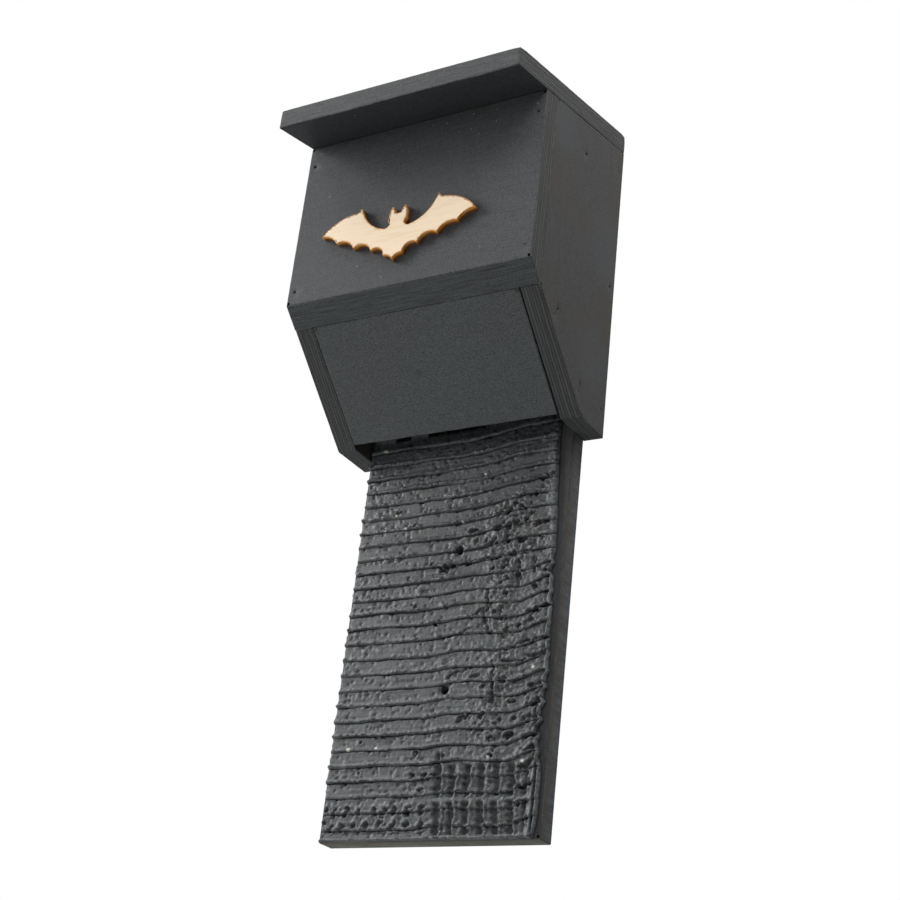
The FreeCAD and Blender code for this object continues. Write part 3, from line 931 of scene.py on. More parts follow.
    @staticmethod
    def add_band(shell: Shell, first: int, rows: int, columns: int, flip: bool) -> None:
        """Add the quads of the cut edges, looking outwards."""
        index = first + np.arange(rows * columns).reshape(rows, columns)
        index = np.hstack((index, index[:, :1]))
        quads = grid_quads(index)
        shell.add_faces(quads[:, ::-1] if flip else quads)

    @staticmethod
    def add_strip(shell: Shell, one: Array, two: Array, normal: Array) -> None:
        """Add a closed strip of quads between two rings, looking along a direction."""
        places = np.concatenate(shell.points)
        quads = closed_strip(one, two)
        a, b, c = places[quads[:, 0]], places[quads[:, 1]], places[quads[:, 2]]
        look = (np.cross(b - a, c - a) @ np.asarray(normal)).sum()
        shell.add_faces(quads if look > 0 else quads[:, ::-1])

    @staticmethod
    def circle(recess: Recess, normal: Array, radius: float, depth: float) -> Array:
        """Ring round a recess: a circle, or two half circles apart by its reach.

        Args:
            recess: The recess.
            normal: Outward direction of the face.
            radius: Radius of the ring.
            depth: Distance of the ring below the face.

        Returns:
            The points of the ring.
        """
        angle = 2 * math.pi * (np.arange(SEGMENTS) + 0.5) / SEGMENTS
        up = np.array([0.0, 0.0, 1.0]) if abs(normal[2]) < 0.8 else np.array([0.0, 1.0, 0.0])
        up = up - (up @ normal) * normal
        up /= np.linalg.norm(up)
        side = np.cross(up, normal)
        length = math.cos(recess.lean) * up + math.sin(recess.lean) * side
        width = math.cos(recess.lean) * side - math.sin(recess.lean) * up
        across, forth = radius * np.cos(angle), radius * np.sin(angle) + recess.reach * np.sign(np.sin(angle))
        middle = np.asarray(recess.centre) - depth * normal
        return middle + across[:, None] * width + forth[:, None] * length

    def dent(self, shell: Shell, recess: Recess, normal: Array) -> Array:
        """Add a blind recess and give the ring where it meets the face."""
        steps = ((1.45, 0.0), (1.15, 0.08), (1.0, 0.3), (0.96, 1.0))
        rings = []
        for wide, deep in steps:
            start = shell.add_points(
                self.circle(recess, normal, recess.radius * wide, recess.depth * deep), ply=0.5, wear=0.0)
            rings.append(start + np.arange(SEGMENTS))
        for one, two in zip(rings[:-1], rings[1:]):
            self.add_strip(shell, one, two, normal)
        shell.add_sheet([rings[-1]], normal)
        return rings[0]

    def rim(self, shell: Shell, hole: Recess, side: int, normal: Array, thick: float) -> Array:
        """Add the rim of a hole that goes through, and remember it for its bore."""
        moved = Recess(tuple(np.asarray(hole.centre) + thick * side * normal), hole.radius, hole.depth)
        start = shell.add_points(self.circle(moved, normal, hole.radius, 0.0), ply=0.5, wear=0.4)
        ring = start + np.arange(SEGMENTS)
        self.rims.setdefault(hole.centre, []).append(ring)
        return ring

    def add_bores(self, shell: Shell) -> None:
        """Join the rims of each hole that goes through by its bore."""
        places = np.concatenate(shell.points)
        for one, two in self.rims.values():
            ends = places[two]
            match = np.array([np.argmin(np.linalg.norm(ends - place, axis=1)) for place in places[one]])
            partner = two[match]
            quads = closed_strip(one, partner)
            a, b, c = places[quads[0, 0]], places[quads[0, 1]], places[quads[0, 2]]
            middle = places[one].mean(0)
            look = np.cross(b - a, c - a) @ (a - middle)
            shell.add_faces(quads if look < 0 else quads[:, ::-1])


@dataclass
class Carcass:
    """The six boards. Lengths are in millimetres and angles in degrees, as the solids have them."""

    half_width: float = 78.0
    inner_half: float = 66.0
    side_front: float = -86.5
    panel_front: float = -98.5
    roof_front: float = -131.5
    roof_height: float = 294.0
    roof_slope: float = 13.0
    foot_height: float = 104.0
    foot_depth: float = 29.0
    panel_foot: float = -30.6
    slant: float = 41.0
    bevel_proud: float = 0.6
    panel_play: float = 0.8
    board_foot: float = -120.0

    def roof_line(self, y: float) -> float:
        """Height of the roof's underside at a depth."""
        return self.roof_height + y * math.tan(math.radians(self.roof_slope))

    def slant_line(self, y: float, proud: float = 0.0) -> float:
        """Height of the slanted edges at a depth, moved outwards by proud."""
        slant = math.radians(self.slant)
        return self.foot_height + (-y - self.foot_depth) * math.tan(slant) - proud / math.cos(slant)

    @staticmethod
    def corners(*points: tuple[float, float, float]) -> Array:
        """Corners in metres."""
        return np.array(points, float) * MM

    def upright(self, half: float, y: float, foot: float) -> Array:
        """Corners of an upright face between two edges, from its foot to the roof.

        Args:
            half: Half of its width.
            y: Its depth.
            foot: Height of its lower edge.

        Returns:
            Its four corners in metres.
        """
        head = self.roof_line(y)
        return self.corners((-half, y, foot), (half, y, foot), (half, y, head), (-half, y, head))

    def side(self, hand: int) -> Board:
        """One side board; hand is -1 for the left one and 1 for the right one."""
        outline = ((0.0, self.foot_height), (-self.foot_depth, self.foot_height),
                   (self.side_front, self.slant_line(self.side_front)),
                   (self.side_front, self.roof_line(self.side_front)), (0.0, self.roof_line(0.0)))
        outer = self.corners(*((hand * self.half_width, y, z) for y, z in outline))
        inner = self.corners(*((hand * self.inner_half, y, z) for y, z in outline))
        face = hand * self.half_width * MM
        dents = [Recess((face, -6 * MM, z * MM), 0.9 * MM, depth * MM)
                 for z, depth in ((119.0, 0.25), (198.0, 0.95), (277.0, 0.25))]
        dents.append(Recess((face, -47.7 * MM, 261.8 * MM), 0.95 * MM, 0.95 * MM))
        for along, lean in ((56.8, 25.0), (13.3, 9.0)):
            slant = math.radians(self.slant)
            y = -(self.foot_depth + along * math.cos(slant)) + 9 * math.sin(slant)
            z = self.foot_height + along * math.sin(slant) + 9 * math.cos(slant)
            turn = hand * math.radians(lean)
            dents.append(Recess((face, y * MM, z * MM), 0.7 * MM, 0.75 * MM, 2.9 * MM, turn))
        name = "side_left" if hand < 0 else "side_right"
        cool = ((face, -0.080, 0.266, 0.022), (face, -0.008, 0.220, 0.030), (face, -0.020, 0.145, 0.022))
        finish = PaintedPly(name + "_paint", 0.0, (1500, 1500, 500), (300, 300, 120), (2400, 50, 50),
                            earth_share=0.75, paint=(0.073, 0.0735, 0.0735, 1), grain=(0.15, 0.25, 0.60),
                            cool_spots=cool)
        looks = (EdgeLook(0.5), EdgeLook(0.8, 0.1), EdgeLook(0.9, 0.1), EdgeLook(0.6), EdgeLook(0.3))
        return Board(name, outer, inner, finish, dents, looks=looks, seed=3 + hand)

    def front(self) -> Board:
        """The upright front board with its bevelled lower end."""
        outer, inner = (self.upright(self.half_width, y, self.slant_line(y, self.bevel_proud))
                        for y in (self.panel_front, self.side_front))
        brads = ((-73.5, 257.5, 0.95), (73.5, 257.5, 0.95), (-73.5, 172.0, 0.95), (73.5, 172.0, 0.25))
        dents = [Recess((x * MM, self.panel_front * MM, z * MM), 0.95 * MM, depth * MM)
                 for x, z, depth in brads]
        finish = PaintedPly("front_paint", 0.0, (1500, 1500, 260), (90, 900, 900), (45, 2400, 45),
                            earth_share=0.1, paint=(0.081, 0.0845, 0.0885, 1),
                            edge_paint=(0.066, 0.072, 0.074, 1))
        looks = (EdgeLook(0.12), EdgeLook(1.0, 0.3), EdgeLook(0.3), EdgeLook(1.0, 0.3))
        spots = [Spot((x * MM, self.panel_front * MM, z * MM), size * MM, value) for x, z, size, value in (
            (6.0, 266.1, 0.4, 0.35), (14.9, 265.1, 0.5, 0.5), (22.8, 265.6, 0.4, 0.4), (31.8, 267.1, 0.5, 0.5),
            (23.8, 257.2, 0.4, 0.4), (31.3, 256.7, 0.4, 0.5), (36.7, 252.2, 0.4, 0.4), (47.2, 258.2, 0.4, 0.5),
            (46.7, 266.1, 0.4, 0.4), (19.9, 268.9, 0.4, 0.4), (72.5, 263.2, 0.5, 0.4), (-32.8, 180.8, 0.4, 0.5),
            (-15.9, 170.3, 0.4, 0.5), (-59.6, 233.4, 0.5, 0.5))]
        return Board("front_panel", outer, inner, finish, dents, looks=looks, spots=spots, seed=11)

    def lower_front(self) -> Board:
        """The slanted board between the sides."""
        left, right = -self.inner_half, self.inner_half - self.panel_play
        rise = PLY / math.cos(math.radians(self.slant))
        low, high = self.slant_line(self.panel_foot), self.slant_line(self.side_front)
        outer = self.corners((left, self.panel_foot, low), (right, self.panel_foot, low),
                             (right, self.side_front, high), (left, self.side_front, high))
        inner = outer + np.array([0, 0, rise * MM])
        finish = PaintedPly("slanted_paint", math.radians(self.slant), (1500, 400, 1500), (90, 900, 900),
                            (45, 45, 2400), earth_share=0.12, paint=(0.083, 0.090, 0.094, 1),
                            grain=(0.12, 0.08, 0.80), knot=(-0.0093, -0.0584, 0.1301), knot_radius=2.6 * MM)
        return Board("lower_front_panel", outer, inner, finish, looks=(EdgeLook(0.3),), seed=17)

    def roof(self) -> Board:
        """The sloping roof with its upright ends."""
        half = self.half_width
        thick = PLY / math.cos(math.radians(self.roof_slope))
        low, high = self.roof_line(self.roof_front), self.roof_line(0.0)
        inner = self.corners((-half, self.roof_front, low), (half, self.roof_front, low),
                             (half, 0.0, high), (-half, 0.0, high))
        outer = inner + np.array([0, 0, thick * MM])
        dents = []
        for x in (-72.0, 72.0):
            for y in (-22.0, -70.0):
                z = self.roof_line(y) + thick
                dents.append(Recess((x * MM, y * MM, z * MM), 0.95 * MM, 0.95 * MM))
        chipped = tuple((x * MM, y * MM, z * MM, grown * MM) for x, y, z, grown in (
            (half, self.roof_front, low, 1.0), (half, self.roof_front, low + thick, 1.3),
            (half, 0.0, high + thick, 1.3), (-half, self.roof_front, low + thick, 0.8)))
        # The roof's faces get darker paint than the other boards: black paint, darkened further as painted
        # shade for the roof's underside.
        finish = PaintedPly("roof_paint", math.radians(-self.roof_slope), (1500, 260, 1500), (42, 900, 900),
                            (45, 45, 2400), earth_share=0.2, paint=(0.036, 0.040, 0.044, 1),
                            edge_paint=(0.079, 0.082, 0.084, 1))
        looks = (EdgeLook(0.12), EdgeLook(0.9, 0.12), EdgeLook(0.3), EdgeLook(0.6))
        return Board("roof", outer, inner, finish, dents, looks=looks, broken=chipped, seed=23)

    def back(self) -> Board:
        """The back board, which is also the landing board."""
        outer, inner = (self.upright(self.inner_half, y, self.board_foot) for y in (-PLY, 0.0))
        holes = [Recess((SCREW_X * MM, -PLY * MM, turn * SCREW_Z * MM), SCREW_RADIUS * MM, 0.0)
                 for turn in (-1, 1)]
        finish = PaintedPly("back_paint", 0.0, (1500, 1500, 240), (700, 700, 40), (45, 45, 260),
                            earth_share=0.3, edge_paint=(0.118, 0.127, 0.135, 1), stain=0.75,
                            earth=(0.096, 0.085, 0.067, 1), raw=(0.118, 0.120, 0.100, 1))
        looks = (EdgeLook(0.0, 0.9), EdgeLook(0.06, 0.12), EdgeLook(0.3), EdgeLook(0.3))
        return Board("back_board", outer, inner, finish, through=holes, looks=looks, seed=31, step=1.5 * MM)

    def make(self) -> list[bpy.types.Object]:
        """Build all the boards."""
        boards = (self.side(-1), self.side(1), self.front(), self.lower_front(), self.roof(), self.back())
        return [board.make() for board in boards]


# Grip coat.


@dataclass(frozen=True)
class Mark:
    """A tool's mark in the wet coat: a stroke of a width from one point to another, pressed in or raised."""

    x0: float
    z0: float
    x1: float
    z1: float
    width: float
    depth: float
    rim: float = 0.0


@dataclass(frozen=True)
class Places:
    """Points of the coat in rows and columns, in millimetres."""

    x: Array
    z: Array
    share: Array  # Share of the way from the line above to the line below.
    step: Array  # Number of the line above, counted from the head.
    start: Array  # Left edge of the coat at the point's height.
    end: Array  # Right edge there.


@dataclass
class GripCoat:
    """The trowelled coat on the landing board, in millimetres.

    It is combed in steps: under each line the coat stands back, comes out again in a smooth strip and ends in
    a crumbly bead. The steps rise to the right, where the comb was also drawn upright and the coat is torn.
    """

    left: float = -65.6
    span: float = 127.5
    foot: float = -119.7
    head: float = 134.0
    pitch: float = 8.5
    first_line: float = 131.9

    # Grid: columns in all, those close together at the right edge, and steps hidden behind the slanted panel.
    columns: int = 190
    edge_columns: int = 16
    hidden_lines: int = 3

    # Heights above the board: between the lines, at the least and at the most.
    level: float = 2.3
    thinnest: float = 0.4
    thickest: float = 3.95

    # Right edge of the coat, as heights from the foot upwards and its distances from the middle.
    RIGHT_Z = (-118.8, -116.5, -109.8, -100.0, -87.0, -79.0, -72.0, -67.0, -48.0, -33.0, 0.0, 28.0, 52.0, 75.0,
               93.0, 134.0)
    RIGHT_X = (62.1, 62.6, 63.6, 63.6, 63.6, 62.5, 61.3, 61.8, 63.0, 63.6, 62.4, 61.5, 60.9, 59.3, 58.6, 58.8)

    # Middle and half width of the torn track, which runs down the coat to the right of the middle.
    TORN_Z = (-84.0, -78.0, -63.0, -42.0, -23.0, -9.0, 8.0, 28.0, 45.0, 62.0, 72.0)
    TORN_X = (36.0, 36.0, 31.0, 36.0, 40.0, 41.0, 33.0, 34.0, 34.0, 36.0, 38.0)
    TORN_HALF = (0.1, 9.0, 9.0, 8.0, 9.0, 10.0, 9.0, 12.0, 18.0, 14.0, 0.1)

    # Section through one step from the line above to the line below, as shares of the pitch and heights.
    SECTION_U = (0.0, 0.035, 0.08, 0.35, 0.60, 0.66, 0.75, 0.85, 0.92, 0.955, 0.98, 1.0)
    SECTION_H = (1.30, 1.90, 2.12, 2.30, 2.50, 2.46, 2.64, 2.80, 2.84, 2.66, 1.80, 1.30)

    # Tears in the torn track, then single pits: place and width.
    TEARS = ((25.4, 59.1, 1.3), (31.9, 60.2, 2.1), (35.6, 56.6, 1.3), (39.5, 61.2, 1.6), (46.0, 56.9, 1.2),
             (37.0, 53.0, 1.2), (25.2, 50.3, 1.8), (32.9, 51.0, 1.8), (42.5, 53.2, 1.5), (10.6, 50.7, 1.9),
             (19.3, 43.6, 1.2), (23.9, 42.3, 2.0), (32.4, 43.2, 1.9), (41.9, 42.2, 1.8), (53.4, 41.3, 1.1),
             (12.4, 44.6, 1.1), (47.6, 68.7, 0.9), (36.0, 63.6, 1.1), (32.0, 27.6, 1.9), (34.4, 19.6, 1.5),
             (24.5, 26.3, 1.1), (51.6, 14.2, 1.6), (30.8, 17.9, 1.0), (33.6, 11.6, 1.3), (57.0, 23.0, 1.2),
             (26.6, -39.3, 1.3), (44.0, -49.0, 1.5), (44.5, -7.0, 1.6), (37.2, -8.7, 1.2), (51.1, -4.7, 1.3),
             (29.0, 1.0, 1.3), (36.0, -2.5, 1.1), (43.5, -66.5, 2.2), (33.5, -67.5, 1.3), (34.5, -77.0, 1.2),
             (27.5, -55.5, 1.5), (46.0, -57.5, 1.2), (18.0, -55.0, 1.0))
    PITS = ((-14.0, 32.4, 1.1), (-6.5, 29.6, 2.0), (-3.4, 28.2, 1.6), (6.0, -75.2, 1.1), (-36.0, -64.0, 0.9),
            (-46.9, -66.8, 0.9), (-44.7, -83.6, 0.9), (-10.9, -74.0, 1.2), (-11.0, -86.2, 1.6),
            (-3.7, -86.0, 1.7), (1.9, -86.4, 1.2), (-5.0, -94.2, 1.5), (-39.5, 67.6, 1.1), (-28.0, 58.0, 1.2),
            (-2.0, -30.0, 1.0), (-14.5, -14.0, 0.9), (-7.5, -2.0, 1.3), (-22.0, 9.5, 1.0))

    # Level dents: place. Rows of short strokes at the foot: height and places.
    DENTS = ((21.1, -33.3), (15.5, -56.0), (37.5, -36.5))
    SHORT_STROKES = ((-104.4, (-62.4, -56.3, -49.1, -41.6, -31.6, -25.4, -19.6, -11.3, -3.1)),
                     (-112.3, (-63.6, -57.2, -51.0, -43.6, -36.4, -27.9, -19.4, -11.3, -2.9)))

    # Long strokes: both ends and width. Ridges: both ends, width and depth.
    STROKES = ((0.0, 30.7, 34.6, 33.9, 0.6), (34.6, 33.9, 51.0, 35.4, 0.8), (-9.5, 30.0, 0.0, 30.9, 0.9),
               (40.4, 30.0, 41.6, 16.0, 1.3), (49.6, 29.7, 49.8, 22.0, 1.2), (23.1, 14.0, 23.8, 2.1, 1.1),
               (21.4, 2.7, 27.3, -9.6, 1.0), (30.6, -26.5, 32.3, -48.6, 1.0), (32.5, 4.5, 33.0, -3.0, 0.9),
               (3.8, -33.7, 14.1, -28.9, 0.7), (7.6, -10.4, 14.8, -6.4, 0.7), (16.2, 0.5, 21.3, 4.2, 1.0),
               (49.6, -0.3, 62.3, 3.6, 0.8), (41.4, -18.9, 61.4, -14.1, 0.8), (52.0, -25.2, 61.7, -22.7, 1.0),
               (35.8, -26.9, 48.0, -26.5, 1.2), (53.5, -42.0, 62.5, -38.4, 1.1),
               (55.0, -50.4, 60.9, -48.3, 1.2), (52.0, -59.2, 60.0, -56.6, 1.1),
               (52.8, -68.5, 60.0, -66.4, 1.2), (53.9, -75.3, 60.4, -73.3, 1.1),
               (53.2, -84.1, 59.6, -80.4, 1.3), (52.7, -93.8, 58.8, -92.0, 1.1),
               (52.1, -102.9, 57.5, -101.4, 1.0), (50.0, 50.0, 56.5, 51.6, 0.9), (47.0, 77.0, 56.0, 78.6, 0.7),
               (38.0, 68.0, 50.0, 69.6, 0.8))
    RIDGES = ((25.0, 6.0, 31.5, -11.0, 0.9, -0.75), (34.0, -52.0, 33.3, -18.0, 0.9, -0.6),
              (36.5, 30.0, 37.5, 6.0, 0.8, -0.5))

    # Pale grains: place and size.
    GRAINS = ((-53.1, -70.4, 1.5), (-35.7, -70.2, 0.9), (-41.7, 65.6, 1.0), (-10.9, 74.6, 0.8),
              (-47.6, 56.7, 0.8), (-33.8, 56.7, 0.9), (3.0, 56.7, 0.8), (13.9, 84.5, 0.8), (33.3, -77.8, 0.9),
              (53.0, -80.3, 1.4), (54.6, -30.7, 1.2), (-54.0, 108.0, 1.3))

    # Rows of points in one step, and in a step that is hidden behind the slanted panel.
    SHARES = np.array([0.0, 0.035, 0.085, 0.15, 0.22, 0.295, 0.37, 0.445, 0.52, 0.595, 0.665, 0.73, 0.79, 0.85,
                       0.905, 0.95, 0.98, 1.0])
    COARSE = np.array([0.0, 0.4, 0.7, 0.9, 1.0])

    def rise(self, x: Array, z: Array) -> Array:
        """How far the lines have risen at a place.

        High up they climb in one soft sweep. Further down they stay nearly level and turn up at the right.

        Args:
            x: Distances from the middle.
            z: Heights.

        Returns:
            The rise at each place.
        """
        upper = 4.6 * smoothstep(2, 50, x)
        lower = 1.4 * smoothstep(-8, 8, x) - 1.1 * smoothstep(14, 34, x) + 5.2 * smoothstep(42, 62, x)
        share = smoothstep(15, 38, z)
        return upper * share + lower * (1 - share)

    def lines(self, x: Array) -> Array:
        """Heights of the step lines, one row each, from the coat's head to its foot.

        A line lies at its place in the comb's pitch, shifted by a slow drift, a wander of its own and the rise.

        Args:
            x: Distances from the middle at which the lines are wanted.

        Returns:
            One row for each line, with the coat's head first and its foot last.
        """
        count = int((self.first_line - self.foot) / self.pitch) + 1
        index = np.arange(count)[:, None]
        nominal = self.first_line - self.pitch * index
        drift = 1.7 * np.exp(-((nominal - 2.0) / 28.0) ** 2) + 0.5 * noise(index * 0.9, 0.0, 40)
        wander = 0.42 * noise(x[None] / 17.0, index * 5.0 + 0.3, 41)
        wander += 0.25 * noise(x[None] / 6.0, index * 3.0, 43) + 0.12 * noise(x[None] / 2.2, index * 3.0, 44)
        shifted = nominal + drift + wander + self.rise(x[None], nominal)
        top = np.full((1, len(x)), self.head)
        bottom = np.full((1, len(x)), self.foot)
        return np.vstack((top, np.minimum(shifted, self.head - 0.8), bottom))

    def marks(self) -> list[Mark]:
        """Tears, strokes and ridges that were read off the photograph, in millimetres."""
        found = [Mark(x - 0.8, z - 0.4, x + 0.8, z + 0.5, width, 0.8 + 0.6 * width, 0.5)
                 for x, z, width in self.TEARS]
        found += [Mark(x - 0.3, z, x + 0.3, z, width, 0.8 + 0.5 * width, 0.45) for x, z, width in self.PITS]
        found += [Mark(x - 1.6, z - 0.3, x + 1.6, z + 0.3, 1.7, 1.2, 0.3) for x, z in self.DENTS]
        found += [Mark(x - 0.7, z - 1.4, x + 0.6, z + 1.3, 1.5, 1.3, 0.45)
                  for z, places in self.SHORT_STROKES for x in places]
        found += [Mark(x0, z0, x1, z1, width * (1.35 if x1 > 55 else 1.0), 1.4, 0.3)
                  for x0, z0, x1, z1, width in self.STROKES]
        return found + [Mark(*ridge) for ridge in self.RIDGES]

    def pressed(self, x: Array, z: Array) -> tuple[Array, Array]:
        """Depth that the marks press into the coat, and the ragged rims that they throw up.

        For each mark the depth falls off in a steep step at its width, and the rim is a narrow bell just
        outside of that. The distance is measured from a point that noise has shifted.

        Args:
            x: Distances from the middle.
            z: Heights.

        Returns:
            The depth and the rims' height at each place.
        """
        ragged_x = x + 1.3 * noise(x / 2.2, z / 2.0, 61) + 0.6 * noise(x / 1.0, z / 1.0, 63)
        ragged_z = z + 1.3 * noise(x / 2.2, z / 2.0, 62) + 0.6 * noise(x / 1.0, z / 1.0, 64)
        total, rims = np.zeros_like(x), np.zeros_like(x)
        for mark in self.marks():
            line = np.array([mark.x1 - mark.x0, mark.z1 - mark.z0])
            share = ((ragged_x - mark.x0) * line[0] + (ragged_z - mark.z0) * line[1]) / max(line @ line, 1e-9)
            share = np.clip(share, 0, 1)
            apart = np.hypot(ragged_x - mark.x0 - share * line[0], ragged_z - mark.z0 - share * line[1])
            total += mark.depth * fade(0.2 * mark.width, 1.15 * mark.width, apart)
            rims = np.maximum(rims, mark.rim * np.exp(-((apart - 1.35 * mark.width) / 0.5) ** 2))
        return total, rims

    def combed(self, x: Array, z: Array) -> Array:
        """Depth of the upright comb's teeth at the right of the foot: a groove each, and a ridge beside it."""
        across = x - 4.6 + 0.05 * (z + 90.0)
        across = across + 0.9 * noise(x / 9.0, z / 7.0, 71) + 0.8 * noise(x / 2.5, z / 2.0, 72)
        tooth = np.mod(across + 4.3, 8.6) - 4.3
        groove = fade(0.9, 2.0, np.abs(tooth))
        ridge = np.exp(-((tooth - 3.4) / 0.65) ** 2)
        tiers = smoothstep(-118.0, -116.5, z) * fade(-101.6, -100.2, z)
        tiers = tiers + smoothstep(-98.4, -96.8, z) * fade(-84.0, -80.0, z)
        tiers = tiers + fade(1.5, 3.5, np.abs(across)) * smoothstep(-84.0, -80.0, z) * fade(-76.0, -74.0, z)
        reach = smoothstep(1.5, 2.5, x) * fade(55.5, 58.0, x)
        return (2.0 * groove - 0.85 * ridge) * tiers * reach

    def edge_bead(self, x: Array, z: Array, edge: Array) -> tuple[Array, Array]:
        """Raised bead and smears along the right edge, and the gully inside the bead's lower end.

        Each ridge is a bell across a line that wavers with the height.

        Args:
            x: Distances from the middle.
            z: Heights.
            edge: The coat's right edge at each place.

        Returns:
            The height of the bead and smears, and the depth of the gully.
        """
        sway = 0.35 * noise(z / 9.0, 0.0, 65) + 0.25 * noise(z / 3.0, 0.0, 66)
        low = fade(24, 34, z)
        foot = fade(-82, -78, z)
        bead = 1.35 * np.exp(-((x - edge + 0.9) / 0.5) ** 2) * low
        bead -= 0.6 * np.exp(-((x - edge + 2.5 + 0.6 * sway) / 1.0) ** 2) * low * (1 - foot)
        bead += 0.7 * np.exp(-((x - 59.9 + 0.5 * sway) / 0.6) ** 2) * foot
        gully = 1.3 * np.exp(-((x - 61.4 + 0.4 * sway) / 0.6) ** 2) * foot
        lumps = 0.55 + 0.5 * noise(x / 5.0, z / 4.2, 67) + 0.12 * noise(x / 2.0, z / 1.6, 68)
        smear = np.exp(-np.abs((x - edge + 2.9) / 2.4) ** 3) * smoothstep(30, 36, z) * fade(96, 108, z)
        return bead + 0.9 * smear * np.clip(lumps, 0.1, 1.2), gully

    def places(self) -> Places:
        """Points of the whole surface, in rows from the head down and columns from left to right.

        The columns stand closer at the right edge. Both edges waver, the left one stands back after each line,
        and the right one has bays between the lines.

        Returns:
            The points, with their share and step and the coat's edges beside them.
        """
        close = 0.955
        wide = np.linspace(0.0, close, self.columns - self.edge_columns, endpoint=False)
        columns = np.concatenate((wide, np.linspace(close, 1.0, self.edge_columns)))
        lines = self.lines(self.left + columns * self.span)
        shares, heights, order = [], [], []
        for index, (above, below) in enumerate(zip(lines[:-1], lines[1:])):
            local = self.COARSE if index <= self.hidden_lines else self.SHARES
            rows = above[None] + (below - above)[None] * local[:, None]
            if index:
                rows[0] += 0.15
            shares.append(np.repeat(local[:, None], len(columns), axis=1))
            heights.append(rows)
            order.append(np.full(rows.shape, index))
        share, z, step = np.vstack(shares), np.vstack(heights), np.vstack(order)
        jut = 0.6 * fade(0.45, 0.95, share) + 0.8 * noise(z / 2.8, 0.0, 69) + 0.4
        start = self.left + np.clip(jut, 0, None) * fade(0.0, 0.05, columns)
        end = np.interp(z, self.RIGHT_Z, self.RIGHT_X) + 0.3 * noise(z / 5.0, 0.0, 70)
        bays = smoothstep(0.1, 0.45, share) * fade(0.80, 0.99, share)
        bays = bays * smoothstep(-84, -78, z) * fade(24, 34, z)
        end = end - bays * np.clip(0.9 + 1.3 * noise(step * 2.7, 0.0, 73), 0.1, 2.2)
        return Places(start + (end - start) * columns, z, share, step, start, end)

    def torn(self, at: Places) -> Array:
        """How torn the coat is: 1 in the torn track, a little at the rest of the right, and 0 elsewhere."""
        middle = np.interp(at.z, self.TORN_Z, self.TORN_X) + 3.0 * noise(at.x / 9.0, at.z / 9.0, 74)
        half = np.interp(at.z, self.TORN_Z, self.TORN_HALF)
        track = fade(0.6 * half, 1.3 * half, np.abs(at.x - middle))
        return np.maximum(track, 0.3 * smoothstep(4, 20, at.x) * fade(66, 76, at.z))

    def strength(self, at: Places, torn: Array) -> Array:
        """How plainly the lines show, from 0 to 1: they break off in the torn track and now and then elsewhere.

        Args:
            at: The points.
            torn: How torn the coat is there.

        Returns:
            The strength at each point.
        """
        x, step = at.x, at.step
        broken = noise(x / 9.0, step * 3.0, 51) + 0.6 * noise(x / 3.5, step * 3.0, 52)
        strength = 1.0 - torn * np.clip(0.45 - 0.5 * broken, 0.0, 0.9)
        strength *= 1.0 - 0.55 * smoothstep(0.15, 0.5, noise(x / 6.0, step * 4.0, 75))
        strength *= 1.0 - 0.75 * smoothstep(0.25, 0.6, noise(x / 21.0, step * 5.0, 50)) * (1 - torn)
        combed = smoothstep(1.5, 4.0, x) * fade(52, 56, x) * fade(-84, -80, at.z)
        return strength * (1.0 - 0.9 * combed * (1 - np.exp(-((at.z + 98.0) / 3.0) ** 2)))

    def screw_rims(self, at: Places, height: Array) -> Array:
        """The height with a dent and a few crumbs round each screw hole, more of them at the upper one."""
        for turn, crumbly in ((1, 1.0), (-1, 0.25)):
            near = np.hypot(at.x - SCREW_X, at.z - turn * SCREW_Z)
            height = height - 0.9 * fade(SCREW_RADIUS, SCREW_RADIUS + 1.2, near)
            height += crumbly * 1.2 * beads(at.x / 2.0, at.z / 2.0, 91, 0.9) * fade(2.5, 4.8, near)
        return height

    def surface(self) -> tuple[Places, Array, dict[str, Array]]:
        """Whole surface of the coat.

        Returns:
            The points, their heights above the board, and the values for the paint.
        """
        at = self.places()
        x, z, share, step = at.x, at.z, at.share, at.step
        torn = self.torn(at)
        strength = self.strength(at, torn)
        section = np.interp(share, self.SECTION_U, self.SECTION_H)
        groove = fade(0.08, 0.35, share) + smoothstep(0.93, 0.96, share)
        height = self.level + (1 - groove + groove * strength) * (section - self.level)

        # Crumbs gather over each line, in clusters that the comb has rolled up.
        band = smoothstep(0.68, 0.80, share) * fade(0.955, 0.985, share)
        roll = smoothstep(0.74, 0.85, share) * fade(0.93, 0.985, share)
        rolled = smoothstep(-0.2, 0.5, noise(x / 38.0, step * 7.0, 49))
        rope = noise(x / 2.3, z / 1.5, 53)
        bent_x = x + 0.45 * noise(x / 1.5, z / 1.4, 45)
        bent_z = z + 0.45 * noise(x / 1.4, z / 1.5, 46)
        clusters = noise(x / 11.0, step * 7.0, 54) + 0.35 * noise(x / 3.7, step * 5.0, 60)
        busy = smoothstep(-0.15, 0.35, clusters)
        fine = beads(bent_x / 1.8, bent_z / 1.3, 81, 0.6, 0.4)
        large = beads(bent_x / 3.2, bent_z / 1.9, 85, 0.42, 0.35)
        lone = beads(bent_x / 3.0, bent_z / 2.8, 86, 0.13, 0.35)
        crumbs = np.maximum(busy * np.maximum(0.65 * fine, large), lone)
        height += 0.5 * roll * rolled * (1.0 + 0.6 * rope) + 1.05 * band * crumbs

        # Between the lines: some grains and pores, and a crease here and there.
        crease = smoothstep(0.1, 0.5, noise(x / 26.0, step * 9.0, 48)) * np.exp(-((share - 0.56) / 0.035) ** 2)
        grains = beads(bent_x / 3.3, bent_z / 3.3, 87, 0.16, 0.4)
        pores = beads(bent_x / 2.3, bent_z / 2.3, 89, 0.25, 0.6)
        height += 0.4 * grains * (1 - band) - 0.6 * pores * (1 - band) - 0.45 * crease

